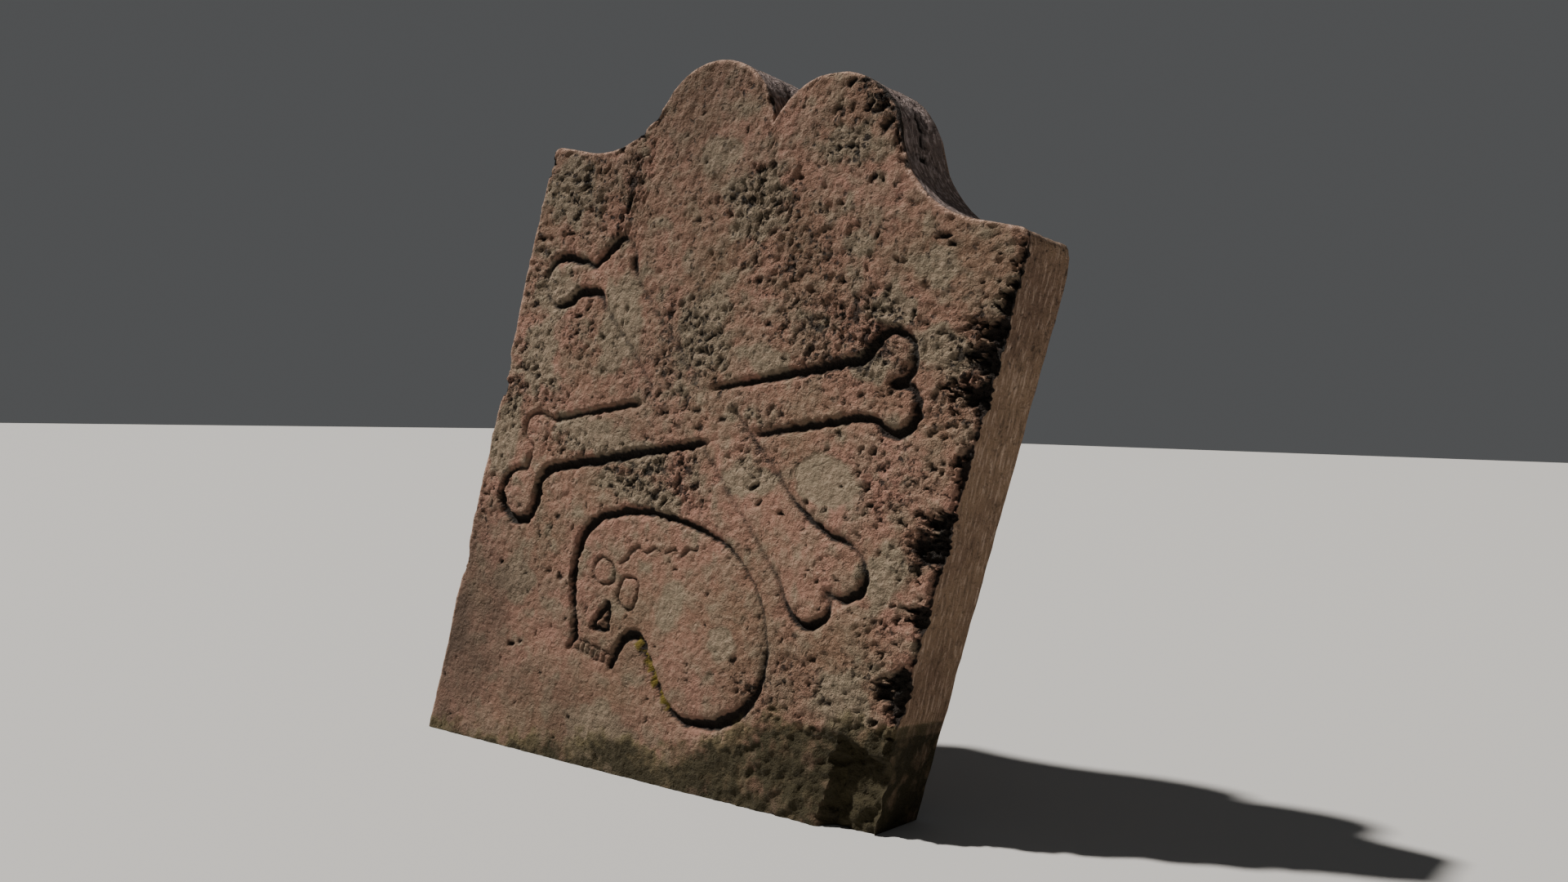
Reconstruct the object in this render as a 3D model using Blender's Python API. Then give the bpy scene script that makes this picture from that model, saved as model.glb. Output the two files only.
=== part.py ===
"""A carved sandstone headstone, leaning as it stands in the ground and cut off level there.

One slab: a head of two round lobes between hollow shoulders, two crossed bones and a skull
in profile cut as grooves into its front, worn and chipped edges, and a flat foot.

Everything is laid out on the slab's own front face before the slab is leant over: u runs
across the face from its middle, v up the face from the shoulder line, w into the stone.
The carving is laid out in millimetres and stretched to the slab's size; the rest is in metres.
"""

import math

import bmesh
import bpy
import numpy as np
from mathutils import Matrix, Vector
from mathutils.geometry import delaunay_2d_cdt

# The slab
WIDTH = 0.620  # across the shoulders
FOOT_WIDTH = 0.602  # across the ground line
SHOULDER_HEIGHT = 0.607  # ground to shoulder, up the middle of the slab
THICKNESS = 0.086
LEAN_RIGHT = math.radians(12.4)  # in the plane of the face, towards +X
LEAN_BACK = math.radians(4.5)  # away from the viewer, towards +Y

# The head
LOBE_RADIUS = 0.081
LOBE_OVERLAP = 0.004  # how far each lobe's circle runs past the middle line
LOBE_OFFSET = LOBE_RADIUS - LOBE_OVERLAP  # from the middle line to a lobe's centre
LOBE_RISE = 0.033  # from the shoulder line up to that centre
SHOULDER_FLAT = 0.060  # the level end of each shoulder
SHOULDER_ROUND = 0.012  # radius of the shoulder's outer corner

# The carved grooves
GROOVE_WIDTH = 0.012
GROOVE_DEPTH = 0.006
FINE_WIDTH = 0.0045  # eyes, nose and teeth
FINE_DEPTH = 0.0025

# Weathering
EDGE_WEAR = 0.005  # rounding of the long front edges
BACK_WEAR = 0.004
LOBE_WEAR = 0.012  # the crumbled front edge of the right lobe
WORN_BACK = 0.011  # the back edge at the right lobe and the right shoulder's corner
CORNER_REACH = 0.030
SPALL_DEPTH = 0.014  # the flake lost from the front at the lower right
SPALL_SLOPE = 0.012  # width of the slope down into it

# How finely the curves are divided
EDGE_STEP = 0.008
ARC_STEP = math.radians(9)
KNOB_STEP = math.radians(24)
GROOVE_STEP = 0.0075
FINE_STEP = 0.0045

# The size of face on which the carving was laid out, in millimetres
LAYOUT_WIDTH = 620.0
LAYOUT_HEIGHT = 607.0

# Chips out of the front edges: height, half length and bite
RIGHT_CHIPS = (
    (-24, 14, 4),
    (-62, 14, 8),
    (-90, 15, 15),
    (-116, 15, 19),
    (-148, 14, 22),
    (-206, 26, 5),
    (-260, 12, 14),
    (-285, 16, 22),
    (-343, 13, 18),
    (-412, 26, 21),
    (-452, 12, 6),
)
LEFT_CHIPS = ((-20, 24, 3), (-268, 30, 7), (-478, 18, 5))
SPALL_CORNER = (253, -474)

# Half a bone: a point of its axis, its slope, how deep its shaft is drawn, and its two knobs,
# the upper first, each with the place of its centre and its radius
SHAFT_HALF_WIDTH = 26.0
NECK_RADIUS = 30.0
FRONT_RIGHT = ((0, -237), math.radians(21.2), 1.0, ((204, -133, 24), (222, -176, 22)))
FRONT_LEFT = ((0, -237), math.radians(21.2), 1.0, ((-233, -307, 19), (-237, -381, 29)))
BACK_RIGHT = ((0, -237), math.radians(-30.8), 0.55, ((208, -333, 26), (175, -367, 28)))
BACK_LEFT = ((-46, -222), math.radians(-37.5), 0.35, ((-164, -106, 22), (-236, -147, 29)))

# The skull's outline from the front teeth over the crown to the jaw: place and share of depth
SKULL = (
    (-109, -516, 0.3),
    (-103, -498, 0.7),
    (-113, -472, 0.8),
    (-124, -440, 1.0),
    (-126, -408, 1.0),
    (-112, -377, 1.0),
    (-70, -354, 1.0),
    (-20, -344, 1.0),
    (40, -344, 0.9),
    (88, -356, 0.4),
    (125, -386, 0.35),
    (145, -423, 0.7),
    (149, -460, 1.0),
    (134, -494, 1.0),
    (102, -518, 1.0),
    (62, -527, 0.8),
    (38, -516, 0.4),
    (12, -492, 1.0),
    (-14, -470, 1.0),
    (-35, -480, 1.0),
    (-43, -512, 0.9),
)
EYES = ((-82, -422, 15.5, 12.5), (-42, -431, 14.5, 15.0))  # centre and half sizes
NOSE = ((-66, -451), (-58, -477), (-82, -482), (-66, -451))
TEETH = (-102, -46, -500, -511)  # left, right, top and foot of the row
TOOTH_GAPS = 6


def on_face(u, v):
    """A place of the layout as a point on the slab's face, in metres."""
    return Vector((u * WIDTH / LAYOUT_WIDTH, v * SHOULDER_HEIGHT / LAYOUT_HEIGHT))


def half_width(v):
    """Half the slab's width at a height: it narrows evenly from the shoulders downwards."""
    return (WIDTH + (WIDTH - FOOT_WIDTH) * min(0.0, v) / SHOULDER_HEIGHT) / 2


def arc(centre, radius, start, end, step=ARC_STEP):
    """Points round an arc with both ends, at most a step apart."""
    count = max(2, math.ceil(abs(end - start) / step))
    turns = [start + (end - start) * i / count for i in range(count + 1)]
    return [Vector((centre[0] + radius * math.cos(t), centre[1] + radius * math.sin(t))) for t in turns]


def head_half():
    """The right half of the head's outline, from the shoulder's outer corner to the notch.

    The hollow runs tangent to the level shoulder and to the lobe, which fixes its radius.
    """
    hollow_foot = WIDTH / 2 - SHOULDER_FLAT
    reach = hollow_foot - LOBE_OFFSET
    hollow = (reach**2 - LOBE_RADIUS**2 + LOBE_RISE**2) / (2 * (LOBE_RADIUS + LOBE_RISE))
    joint = math.atan2(hollow - LOBE_RISE, reach)
    notch = math.acos(-LOBE_OFFSET / LOBE_RADIUS)
    corner = (WIDTH / 2 - SHOULDER_ROUND, -SHOULDER_ROUND)
    return (
        arc(corner, SHOULDER_ROUND, 0.0, math.pi / 2, math.radians(30))
        + arc((hollow_foot, hollow), hollow, -math.pi / 2, joint - math.pi)
        + arc((LOBE_OFFSET, LOBE_RISE), LOBE_RADIUS, joint, notch)[1:]
    )


def side(sign):
    """One side of the outline, from just below the ground line up to the shoulder's corner."""
    bottom = -SHOULDER_HEIGHT + sign * math.tan(LEAN_RIGHT) * WIDTH / 2 - THICKNESS / 4
    top = -SHOULDER_ROUND
    count = math.ceil((top - bottom) / EDGE_STEP)
    heights = [bottom + (top - bottom) * i / count for i in range(count)]
    return [Vector((sign * half_width(v), v)) for v in heights]


def slab_outline():
    """The slab's outline seen from the front, anticlockwise from the lower right."""
    head = head_half()
    left_head = [Vector((-p.x, p.y)) for p in reversed(head[:-1])]
    return side(1) + head + left_head + list(reversed(side(-1)))


def bump(distance, reach):
    """1 at no distance, falling smoothly to 0 at the reach and beyond."""
    return 0.5 + 0.5 * math.cos(math.pi * min(1.0, abs(distance) / reach))


def edge_wear(p):
    """How far the front edge is worn back at a point of the outline."""
    scale = SHOULDER_HEIGHT / LAYOUT_HEIGHT
    middle = LOBE_OFFSET + 0.6 * LOBE_RADIUS
    if p.x > LOBE_OFFSET and p.y > LOBE_RISE:
        return EDGE_WEAR + (LOBE_WEAR - EDGE_WEAR) * bump(p.x - middle, 0.6 * LOBE_RADIUS)
    if abs(p.x) < WIDTH / 2 - SHOULDER_FLAT / 2:
        return EDGE_WEAR
    chips = RIGHT_CHIPS if p.x > 0 else LEFT_CHIPS
    bites = [bite * bump(p.y / scale - height, reach) for height, reach, bite in chips]
    return EDGE_WEAR + scale * max(bites)


def back_wear(p):
    """How far the back edge is worn in: most at the right lobe and the right shoulder's corner."""
    lobe = bump(p.x - LOBE_OFFSET - LOBE_RADIUS / 2, LOBE_RADIUS) if p.y > 0 else 0.0
    corner = bump((p - Vector((WIDTH / 2, 0.0))).length, CORNER_REACH)
    return BACK_WEAR + (WORN_BACK - BACK_WEAR) * max(lobe, corner)


def spall(p):
    """Depth of the lost flake at a point: nothing outside its corner, then a slope down."""
    corner = on_face(*SPALL_CORNER)
    inwards = min(p[0] - corner.x, corner.y - p[1])
    return SPALL_DEPTH * min(1.0, max(0.0, inwards / SPALL_SLOPE))


def spall_points():
    """Points along the top and the foot of the flake's slope."""
    corner = on_face(*SPALL_CORNER)
    points = []
    for offset in (0.0, SPALL_SLOPE):
        u, v = corner.x + offset, corner.y - offset
        points += [Vector((u + EDGE_STEP * i, v)) for i in range(3)]
        points += [Vector((u, v - EDGE_STEP * i)) for i in range(1, 12)]
    return points


def inset(outline, amounts):
    """The outline with each point moved inwards by its own amount."""
    moved = []
    for i, p in enumerate(outline):
        along = (outline[(i + 1) % len(outline)] - outline[i - 1]).normalized()
        moved.append(p + Vector((-along.y, along.x)) * amounts[i])
    return moved


def bone_end(half):
    """The line round one end of a bone, from its upper shaft line round to the lower one.

    It is worked out in the bone's own directions, along the shaft and up across it. On each
    side a neck arc runs tangent to the shaft line and to the knob. The two knobs' arcs are
    carried on to where they cross, or to where they come nearest.
    """
    origin, slope, share, knobs = half
    sign = math.copysign(1.0, knobs[0][0])
    along = Vector((math.cos(slope), math.sin(slope))) * sign
    up = Vector((-math.sin(slope), math.cos(slope)))
    centres = [Vector((u, v)) - Vector(origin) for u, v, _ in knobs]
    upper, lower = [Vector((c.dot(along), c.dot(up))) for c in centres]
    radii = [r for _, _, r in knobs]
    gap = lower - upper
    way = math.atan2(gap.y, gap.x)
    points = []
    for centre, radius, other, flip in ((upper, radii[0], radii[1], 1), (lower, radii[1], radii[0], -1)):
        reach = NECK_RADIUS + radius
        rise = SHAFT_HALF_WIDTH + NECK_RADIUS - flip * centre.y
        run = math.sqrt(max(0.0, reach**2 - rise**2))
        neck = Vector((centre.x - run, SHAFT_HALF_WIDTH + NECK_RADIUS))
        turn = math.atan2(-rise, run)
        opening = (radius**2 + gap.length_squared - other**2) / (2 * radius * gap.length)
        end = flip * way + (0.0 if flip > 0 else -math.pi) + math.acos(min(1.0, opening))
        knob = Vector((centre.x, flip * centre.y))
        start = turn + math.pi
        while end > start:
            end -= 2 * math.pi
        while end < start - 2 * math.pi:
            end += 2 * math.pi
        half_line = arc(neck, NECK_RADIUS, -math.pi / 2, turn, KNOB_STEP)
        half_line += arc(knob, radius, start, end, KNOB_STEP)[1:]
        half_line = [Vector((p.x, flip * p.y)) for p in half_line]
        points += half_line if flip > 0 else list(reversed(half_line))
    return origin, along, up, share, points


def shaft_start(origin, along, up, height, front):
    """How far along a back bone's shaft line it comes out from under the front bone."""
    slope = front[1]
    normal = Vector((-math.sin(slope), math.cos(slope)))
    line = Vector(origin) + up * height - Vector(front[0])
    distances = [(side * SHAFT_HALF_WIDTH - line.dot(normal)) / along.dot(normal) for side in (1, -1)]
    return max(distances)


def bone_line(half, front=None):
    """One end of a bone as a groove: its shaft lines, its necks and its knobs."""
    origin, along, up, share, points = bone_end(half)
    starts = [0.0, 0.0]
    if front:
        starts = [
            shaft_start(origin, along, up, h, front) + GROOVE_WIDTH * 500
            for h in (SHAFT_HALF_WIDTH, -SHAFT_HALF_WIDTH)
        ]
    line = [Vector((starts[0], SHAFT_HALF_WIDTH)), *points, Vector((starts[1], -SHAFT_HALF_WIDTH))]
    shares = [share, share] + [1.0] * (len(points) - 2) + [share, share]
    made = []
    for p, s in zip(line, shares):
        q = on_face(*(Vector(origin) + along * p.x + up * p.y))
        made.append(Vector((q.x, q.y, s * GROOVE_DEPTH)))
    return made


def smooth(points, step):
    """Points about a step apart on the smooth curve through the given ones.

    Between two points the curve is the cubic whose slope at each is half the way from the
    point before to the point after.
    """
    run = [2 * points[0] - points[1], *points, 2 * points[-1] - points[-2]]
    made = []
    for a, b, c, d in zip(run, run[1:], run[2:], run[3:]):
        count = max(1, round((c - b).length / step))
        for i in range(count):
            t = i / count
            pull = (2 * a - 5 * b + 4 * c - d) * t**2 + (3 * b - 3 * c + d - a) * t**3
            made.append(b + (c - a) * t / 2 + pull / 2)
    return [*made, points[-1]]


def evenly(points, step):
    """Points a step apart along a chain of straight lines, with its corners kept."""
    made = [points[0]]
    for a, b in zip(points, points[1:]):
        count = max(1, round((b - a).length / step))
        made += [a.lerp(b, i / count) for i in range(1, count + 1)]
    return made


def fine_line(places):
    """A fine groove through places of the layout."""
    points = []
    for u, v in places:
        p = on_face(u, v)
        points.append(Vector((p.x, p.y, FINE_DEPTH)))
    return evenly(points, FINE_STEP)


def eye(u, v, a, b):
    """An eye drawn as a rounded square: the curve on which |x/a|^3 + |y/b|^3 is 1."""
    places = []
    for i in range(21):
        turn = 2 * math.pi * i / 20
        c, s = math.cos(turn), math.sin(turn)
        size = (abs(c) ** 3 + abs(s) ** 3) ** (-1 / 3)
        places.append((u + a * size * c, v + b * size * s))
    return places


def grooves():
    """Every groove as its middle line, with its depth at each point, and its half width."""
    front = bone_line(FRONT_RIGHT) + list(reversed(bone_line(FRONT_LEFT)))
    wide = [evenly([*front, front[0]], GROOVE_STEP)]
    wide += [evenly(bone_line(half, FRONT_RIGHT), GROOVE_STEP) for half in (BACK_RIGHT, BACK_LEFT)]
    skull = []
    for u, v, share in SKULL:
        p = on_face(u, v)
        skull.append(Vector((p.x, p.y, share * GROOVE_DEPTH)))
    wide.append(smooth(skull, GROOVE_STEP))
    left, right, top, foot = TEETH
    gaps = [left + (right - left) * (i + 1) / (TOOTH_GAPS + 1) for i in range(TOOTH_GAPS)]
    fine = [fine_line(eye(*size)) for size in EYES]
    fine.append(fine_line(NOSE))
    fine += [fine_line([(left, v), (right, v)]) for v in (top, foot)]
    fine += [fine_line([(u, top), (u, foot)]) for u in gaps]
    return [(line, GROOVE_WIDTH / 2) for line in wide] + [(line, FINE_WIDTH / 2) for line in fine]


def groove_depth(points, lines):
    """Depth of the grooves at each point: full at a middle line, none at its half width."""
    starts = np.array([p for line, _ in lines for p in line[:-1]])
    ends = np.array([p for line, _ in lines for p in line[1:]])
    halves = np.array([half for line, half in lines for _ in line[1:]])
    spans = ends - starts
    lengths = np.maximum((spans[:, :2] ** 2).sum(1), 1e-12)
    offsets = np.array(points)[:, None, :2] - starts[None, :, :2]
    share = np.clip((offsets * spans[None, :, :2]).sum(2) / lengths, 0.0, 1.0)
    nearest = offsets - share[:, :, None] * spans[None, :, :2]
    distance = np.sqrt((nearest**2).sum(2))
    depth = (starts[None, :, 2] + share * spans[None, :, 2]) * np.maximum(0.0, 1.0 - distance / halves)
    return depth.max(1)


class Points:
    """The points and fixed edges given to the triangulation, kept clear of one another."""

    def __init__(self, outline):
        self.points = [Vector((p.x, p.y)) for p in outline]
        self.edges = [(i, (i + 1) % len(outline)) for i in range(len(outline))]

    def add(self, p, clear):
        """The number of a new point, or None where it would crowd one that is there."""
        taken = np.array(self.points)
        if np.sqrt(((taken - (p.x, p.y)) ** 2).sum(1)).min() < clear:
            return None
        self.points.append(Vector((p.x, p.y)))
        return len(self.points) - 1

    def add_line(self, line, clear):
        """Adds a chain of points, with an edge between each two neighbours that both fit."""
        last = None
        for p in line:
            number = self.add(p, clear)
            if number is not None and last is not None:
                self.edges.append((last, number))
            last = number


def rims(line, half):
    """The two edges of a groove: its middle line moved half its width to either side."""
    made = []
    for sign in (1, -1):
        edge = []
        for i, p in enumerate(line):
            along = line[min(i + 1, len(line) - 1)] - line[max(i - 1, 0)]
            along = Vector((along.x, along.y)).normalized()
            edge.append(Vector((p.x, p.y)) + Vector((-along.y, along.x)) * sign * half)
        made.append(edge)
    return made


def front_face(outline):
    """The carved front as points, their depths and triangles, with the outline's points first."""
    lines = grooves()
    net = Points(outline)
    for line, half in lines:
        net.add_line(line, 0.45 * half)
    for line, half in lines:
        for edge in rims(line, half):
            shallow = groove_depth(edge, lines) < 0.06 * FINE_DEPTH
            run = []
            for p, outside in zip(edge, shallow):
                if outside:
                    run.append(p)
                else:
                    net.add_line(run, 0.7 * half)
                    run = []
            net.add_line(run, 0.7 * half)
    for p in spall_points():
        if abs(p.x) < half_width(p.y) - 3 * EDGE_WEAR:
            net.add(p, EDGE_WEAR)
    made = delaunay_2d_cdt(net.points, net.edges, [], 1, 1e-7)
    points, faces, sources = made[0], made[2], made[3]
    depths = np.maximum(groove_depth(points, lines), [spall(p) for p in points])
    numbers = {}
    for i, source in enumerate(sources):
        for number in source:
            numbers[number] = i
    ring = [numbers[i] for i in range(len(outline))]
    return points, depths, faces, ring


def slab_mesh():
    """The whole slab as one closed mesh, still upright in its own directions."""
    outline = slab_outline()
    wear = [edge_wear(p) for p in outline]
    back = [back_wear(p) for p in outline]
    points, depths, faces, ring = front_face(inset(outline, wear))
    mesh = bmesh.new()
    front = [mesh.verts.new((p.x, d, p.y)) for p, d in zip(points, depths)]
    for face in faces:
        mesh.faces.new([front[i] for i in face])
    rings = [[front[i] for i in ring]]
    lost = [spall(p) for p in outline]
    for share, sink in ((0.35, 0.40), (0.0, 0.85)):
        moved = inset(outline, [share * a for a in wear])
        rings.append([mesh.verts.new((p.x, d + sink * a, p.y)) for p, d, a in zip(moved, lost, wear)])
    for share, rise in ((0.0, 1.0), (0.3, 0.3), (1.0, 0.0)):
        moved = inset(outline, [share * a for a in back])
        rings.append([mesh.verts.new((p.x, THICKNESS - rise * a, p.y)) for p, a in zip(moved, back)])
    for near, far in zip(rings, rings[1:]):
        for i in range(len(outline)):
            mesh.faces.new((near[i - 1], near[i], far[i], far[i - 1]))
    mesh.faces.new(rings[-1])
    bmesh.ops.recalc_face_normals(mesh, faces=mesh.faces)
    return mesh


def stand_in_ground(mesh):
    """Leans the slab over, sets its foot's middle at the origin and cuts it off level."""
    lean = Matrix.Rotation(-LEAN_BACK, 4, "X") @ Matrix.Rotation(LEAN_RIGHT, 4, "Y")
    foot = Matrix.Translation((0.0, -THICKNESS / 2, SHOULDER_HEIGHT))
    bmesh.ops.transform(mesh, matrix=lean @ foot, verts=mesh.verts)
    parts = [*mesh.verts, *mesh.edges, *mesh.faces]
    bmesh.ops.bisect_plane(
        mesh, geom=parts, dist=1e-6, plane_co=(0, 0, 0), plane_no=(0, 0, 1), clear_inner=True
    )
    rim = [edge for edge in mesh.edges if edge.is_boundary]
    bmesh.ops.holes_fill(mesh, edges=rim, sides=0)
    bmesh.ops.triangulate(mesh, faces=mesh.faces)
    bmesh.ops.recalc_face_normals(mesh, faces=mesh.faces)


def sandstone():
    """Warm brownish-pink sandstone."""
    stone = bpy.data.materials.new("sandstone")
    stone.use_nodes = True
    shader = stone.node_tree.nodes["Principled BSDF"]
    shader.inputs["Base Color"].default_value = (0.36, 0.25, 0.20, 1.0)
    shader.inputs["Roughness"].default_value = 0.9
    return stone


for old in list(bpy.data.objects):
    bpy.data.objects.remove(old, do_unlink=True)

body = slab_mesh()
stand_in_ground(body)
data = bpy.data.meshes.new("headstone")
body.to_mesh(data)
body.free()
headstone = bpy.data.objects.new("headstone", data)
headstone.data.materials.append(sandstone())
bpy.context.scene.collection.objects.link(headstone)
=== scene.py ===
# %% [markdown]
# # A weathered headstone
#
# The object is one slab of pinkish-brown sandstone. It leans to the viewer's right and a little
# back, its head is two round lobes between hollow shoulders, and its face carries two crossed
# bones and a skull in profile, cut as grooves. This lesson builds the slab's worn skin as one
# closed mesh, worked out with numpy, and then its stone as a procedural material.
#
# The first cell loads the plain solid that the skin stands for, and keeps its box.

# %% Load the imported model
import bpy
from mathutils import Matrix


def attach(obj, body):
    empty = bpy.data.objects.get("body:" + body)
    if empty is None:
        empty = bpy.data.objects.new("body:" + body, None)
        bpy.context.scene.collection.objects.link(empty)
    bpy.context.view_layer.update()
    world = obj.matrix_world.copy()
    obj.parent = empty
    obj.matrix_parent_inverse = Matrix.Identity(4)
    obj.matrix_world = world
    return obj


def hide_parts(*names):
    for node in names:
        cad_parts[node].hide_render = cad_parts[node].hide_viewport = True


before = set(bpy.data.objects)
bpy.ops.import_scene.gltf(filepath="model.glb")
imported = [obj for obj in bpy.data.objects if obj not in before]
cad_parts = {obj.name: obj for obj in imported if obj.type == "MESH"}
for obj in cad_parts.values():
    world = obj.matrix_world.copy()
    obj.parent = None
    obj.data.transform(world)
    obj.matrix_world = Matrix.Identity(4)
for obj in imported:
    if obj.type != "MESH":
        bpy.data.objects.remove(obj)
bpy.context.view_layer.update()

# %% [markdown]
# ## Sizes
#
# Everything is worked out on the slab's own upright face, in millimetres: u across from the
# middle, v up from the shoulder line, w into the stone from the front. Only at the end is the
# slab leant over and set on the ground. These numbers are the solid's own, so skin and solid
# agree.

# %% Sizes of the slab
import math
import bpy
import numpy as np
from mathutils import Matrix, Vector

WIDTH, FOOT_WIDTH, SHOULDER_HEIGHT, THICKNESS = 620.0, 602.0, 607.0, 86.0
LEAN_RIGHT, LEAN_BACK = math.radians(12.4), math.radians(4.5)
LOBE_RADIUS, LOBE_OFFSET, LOBE_RISE = 81.0, 77.0, 33.0
SHOULDER_FLAT, SHOULDER_ROUND = 60.0, 12.0

hollow_foot = WIDTH / 2 - SHOULDER_FLAT
hollow_reach = hollow_foot - LOBE_OFFSET
hollow_radius = (hollow_reach**2 - LOBE_RADIUS**2 + LOBE_RISE**2) / (2 * (LOBE_RADIUS + LOBE_RISE))
joint_angle = math.atan2(hollow_radius - LOBE_RISE, hollow_reach)
joint_u = LOBE_OFFSET + LOBE_RADIUS * math.cos(joint_angle)
print("the hollow of a shoulder has a radius of", round(hollow_radius, 1), "mm")

# %% [markdown]
# ## Chance without surprises
#
# Weathered stone needs thousands of accidents, yet the script has to give the same stone each
# time. Both helpers below turn the number of a lattice cell into a fixed "random" number by
# integer arithmetic. `unevenness` blends the four corners of the cell a point lies in.
# `hollows` gives each cell at most one small pit. Both work on whole arrays at once. `bump` is
# the soft hill by which one thing fades into another all through the script.

# %% Noise on whole arrays
def cell_number(i, j, seed):
    """A number from 0 to 1 that depends only on the cell (i, j) and the seed."""
    n = i.astype(np.int64) * 374761393 + j.astype(np.int64) * 668265263 + seed * 974634777
    n = n & 0xFFFFFFFF
    n = ((n ^ (n >> 13)) * 1274126177) & 0xFFFFFFFF
    return ((n ^ (n >> 16)) & 0xFFFFFF) / float(0xFFFFFF)


def unevenness(x, y, size, seed, octaves=3):
    """Smooth noise of about -1 to 1: every lattice corner slopes its own way, and the four slopes
    round a point are blended by 6t^5 - 15t^4 + 10t^3. Each octave has half the size and height."""
    total = np.zeros(np.broadcast(x, y).shape)
    for octave in range(octaves):
        across, up = x * 2**octave / size, y * 2**octave / size
        i, j = np.floor(across), np.floor(up)
        s, t = across - i, up - j
        slopes = []
        for a, b in ((0, 0), (1, 0), (0, 1), (1, 1)):
            turn = 2 * np.pi * cell_number(i + a, j + b, seed + 17 * octave)
            slopes.append(np.cos(turn) * (s - a) + np.sin(turn) * (t - b))
        s, t = (c * c * c * (c * (c * 6 - 15) + 10) for c in (s, t))
        low = slopes[0] + (slopes[1] - slopes[0]) * s
        high = slopes[2] + (slopes[3] - slopes[2]) * s
        total += (low + (high - low) * t) * 1.55 / 2**octave
    return total


def hollows(x, y, cell, crowd, radius, depth, seed):
    """Depth of scattered pits: depth x (1 - (distance / radius)^3), the deepest of nine cells."""
    deepest = np.zeros(np.broadcast(x, y).shape)
    i0, j0 = np.floor(x / cell), np.floor(y / cell)
    for a in (-1, 0, 1):
        for b in (-1, 0, 1):
            i, j = i0 + a, j0 + b
            cx = (i + cell_number(i, j, seed + 11)) * cell
            cy = (j + cell_number(i, j, seed + 12)) * cell
            size = 0.55 + 0.75 * cell_number(i, j, seed + 13)
            there = cell_number(i, j, seed + 14) < crowd
            near = np.hypot(x - cx, y - cy) / (radius * size)
            pit = depth * size * np.clip(1 - near**3, 0, 1)
            deepest = np.maximum(deepest, np.where(there, pit, 0))
    return deepest


def bump(distance, reach):
    """1 at no distance, falling smoothly to 0 at the reach and beyond."""
    return 0.5 + 0.5 * np.cos(np.pi * np.minimum(1, np.abs(distance) / reach))


sample = unevenness(*np.meshgrid(np.arange(100.0), np.arange(100.0)), 10, 1)
print("noise from", round(float(sample.min()), 2), "to", round(float(sample.max()), 2))

# %% [markdown]
# ## The slab as a grid
#
# A surface like this one could be sculpted, or cut with Booleans, but a grid gives control of
# every millimetre. Column s runs from the left side to the right, row t from the ground to the
# head's outline. The rows near the top take the outline's shape, those lower down are straight.

# %% Outline
def head_height(u):
    """Height of the outline over the shoulder line: lobe circle, hollow circle, level, corner."""
    a = np.abs(u)
    lobe = LOBE_RISE + np.sqrt(np.maximum(0, LOBE_RADIUS**2 - (a - LOBE_OFFSET) ** 2))
    hollow = hollow_radius - np.sqrt(np.maximum(0, hollow_radius**2 - (hollow_foot - a) ** 2))
    past = np.maximum(0, a - (WIDTH / 2 - SHOULDER_ROUND))
    corner = np.sqrt(np.maximum(0, SHOULDER_ROUND**2 - past**2)) - SHOULDER_ROUND
    return np.where(a < joint_u, lobe, np.where(a < hollow_foot, hollow, corner))


def ground_height(u, w):
    """Height at which the level ground meets the leaning slab."""
    across = math.tan(LEAN_RIGHT) * u
    inwards = math.tan(LEAN_BACK) / math.cos(LEAN_RIGHT) * (w - THICKNESS / 2)
    return across + inwards - SHOULDER_HEIGHT


LEFT_EDGE = (
    (-674, 0.3), (-560, 1), (-520, 0), (-478, 3), (-440, 0), (-320, 1), (-270, 4), (-215, 2),
    (-165, 0), (-60, 1), (-14, 2), (0, 1),
)


def half_width(v, side):
    """Half the slab's width at a height, with the few millimetres that the left edge has lost."""
    straight = (WIDTH + (WIDTH - FOOT_WIDTH) * np.minimum(0, v) / SHOULDER_HEIGHT) / 2
    lost = np.interp(v, *np.array(LEFT_EDGE, float).T)
    return straight - np.where(side < 0, lost, 0.4 + 0.6 * unevenness(v, v * 0, 40, 5))


print("the lobes rise", LOBE_RISE + LOBE_RADIUS, "mm over the shoulders")

# %% [markdown]
# Rows and columns crowd together near the edges, because the stone turns round its corner
# there. Columns also crowd a little where the head's outline is steep.

# %% Grid
def crowded(count, fine, reach, ends):
    """Steps from 0 to 1 that start at a share `fine` of the full step and widen over `reach` steps."""
    i = np.arange(count) + 0.5
    width = np.ones(count)
    if ends[0]:
        width = np.minimum(width, fine + (1 - fine) * (i / reach) ** 1.5)
    if ends[1]:
        width = np.minimum(width, fine + (1 - fine) * ((count - i) / reach) ** 1.5)
    return np.concatenate([[0], np.cumsum(width)]) / width.sum()


COLUMNS, ROWS = 268, 276
steps = crowded(COLUMNS, 0.3, 7, (True, True)) * WIDTH - WIDTH / 2
slope = np.gradient(head_height(steps), steps)
steep = np.abs(slope[1:] + slope[:-1]) / 2
stretch = np.concatenate([[0], np.cumsum(np.diff(steps) * (1 + 0.35 * steep))])
column_u = np.interp(np.linspace(0, stretch[-1], COLUMNS + 1), stretch, steps)
column_u = 0.5 * column_u + 0.5 * steps
row_t = crowded(ROWS, 0.3, 7, (False, True))


def slab_place(u, t, w):
    """Place on the face of nominal column u and row t, for a surface w deep in the stone."""
    foot = ground_height(u, w)
    foot = ground_height(u * half_width(foot, u) / (WIDTH / 2), w)
    level = 25.0
    v = foot + (level - foot) * t + (head_height(u) - level) * t**3
    return u * half_width(v, u) / (WIDTH / 2), v


grid_u, grid_v = slab_place(column_u[None, :], row_t[:, None], 0.0)
print("front grid", grid_u.shape, "steps", round(float(np.diff(grid_v[:, 100]).mean()), 2), "mm high")

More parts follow.
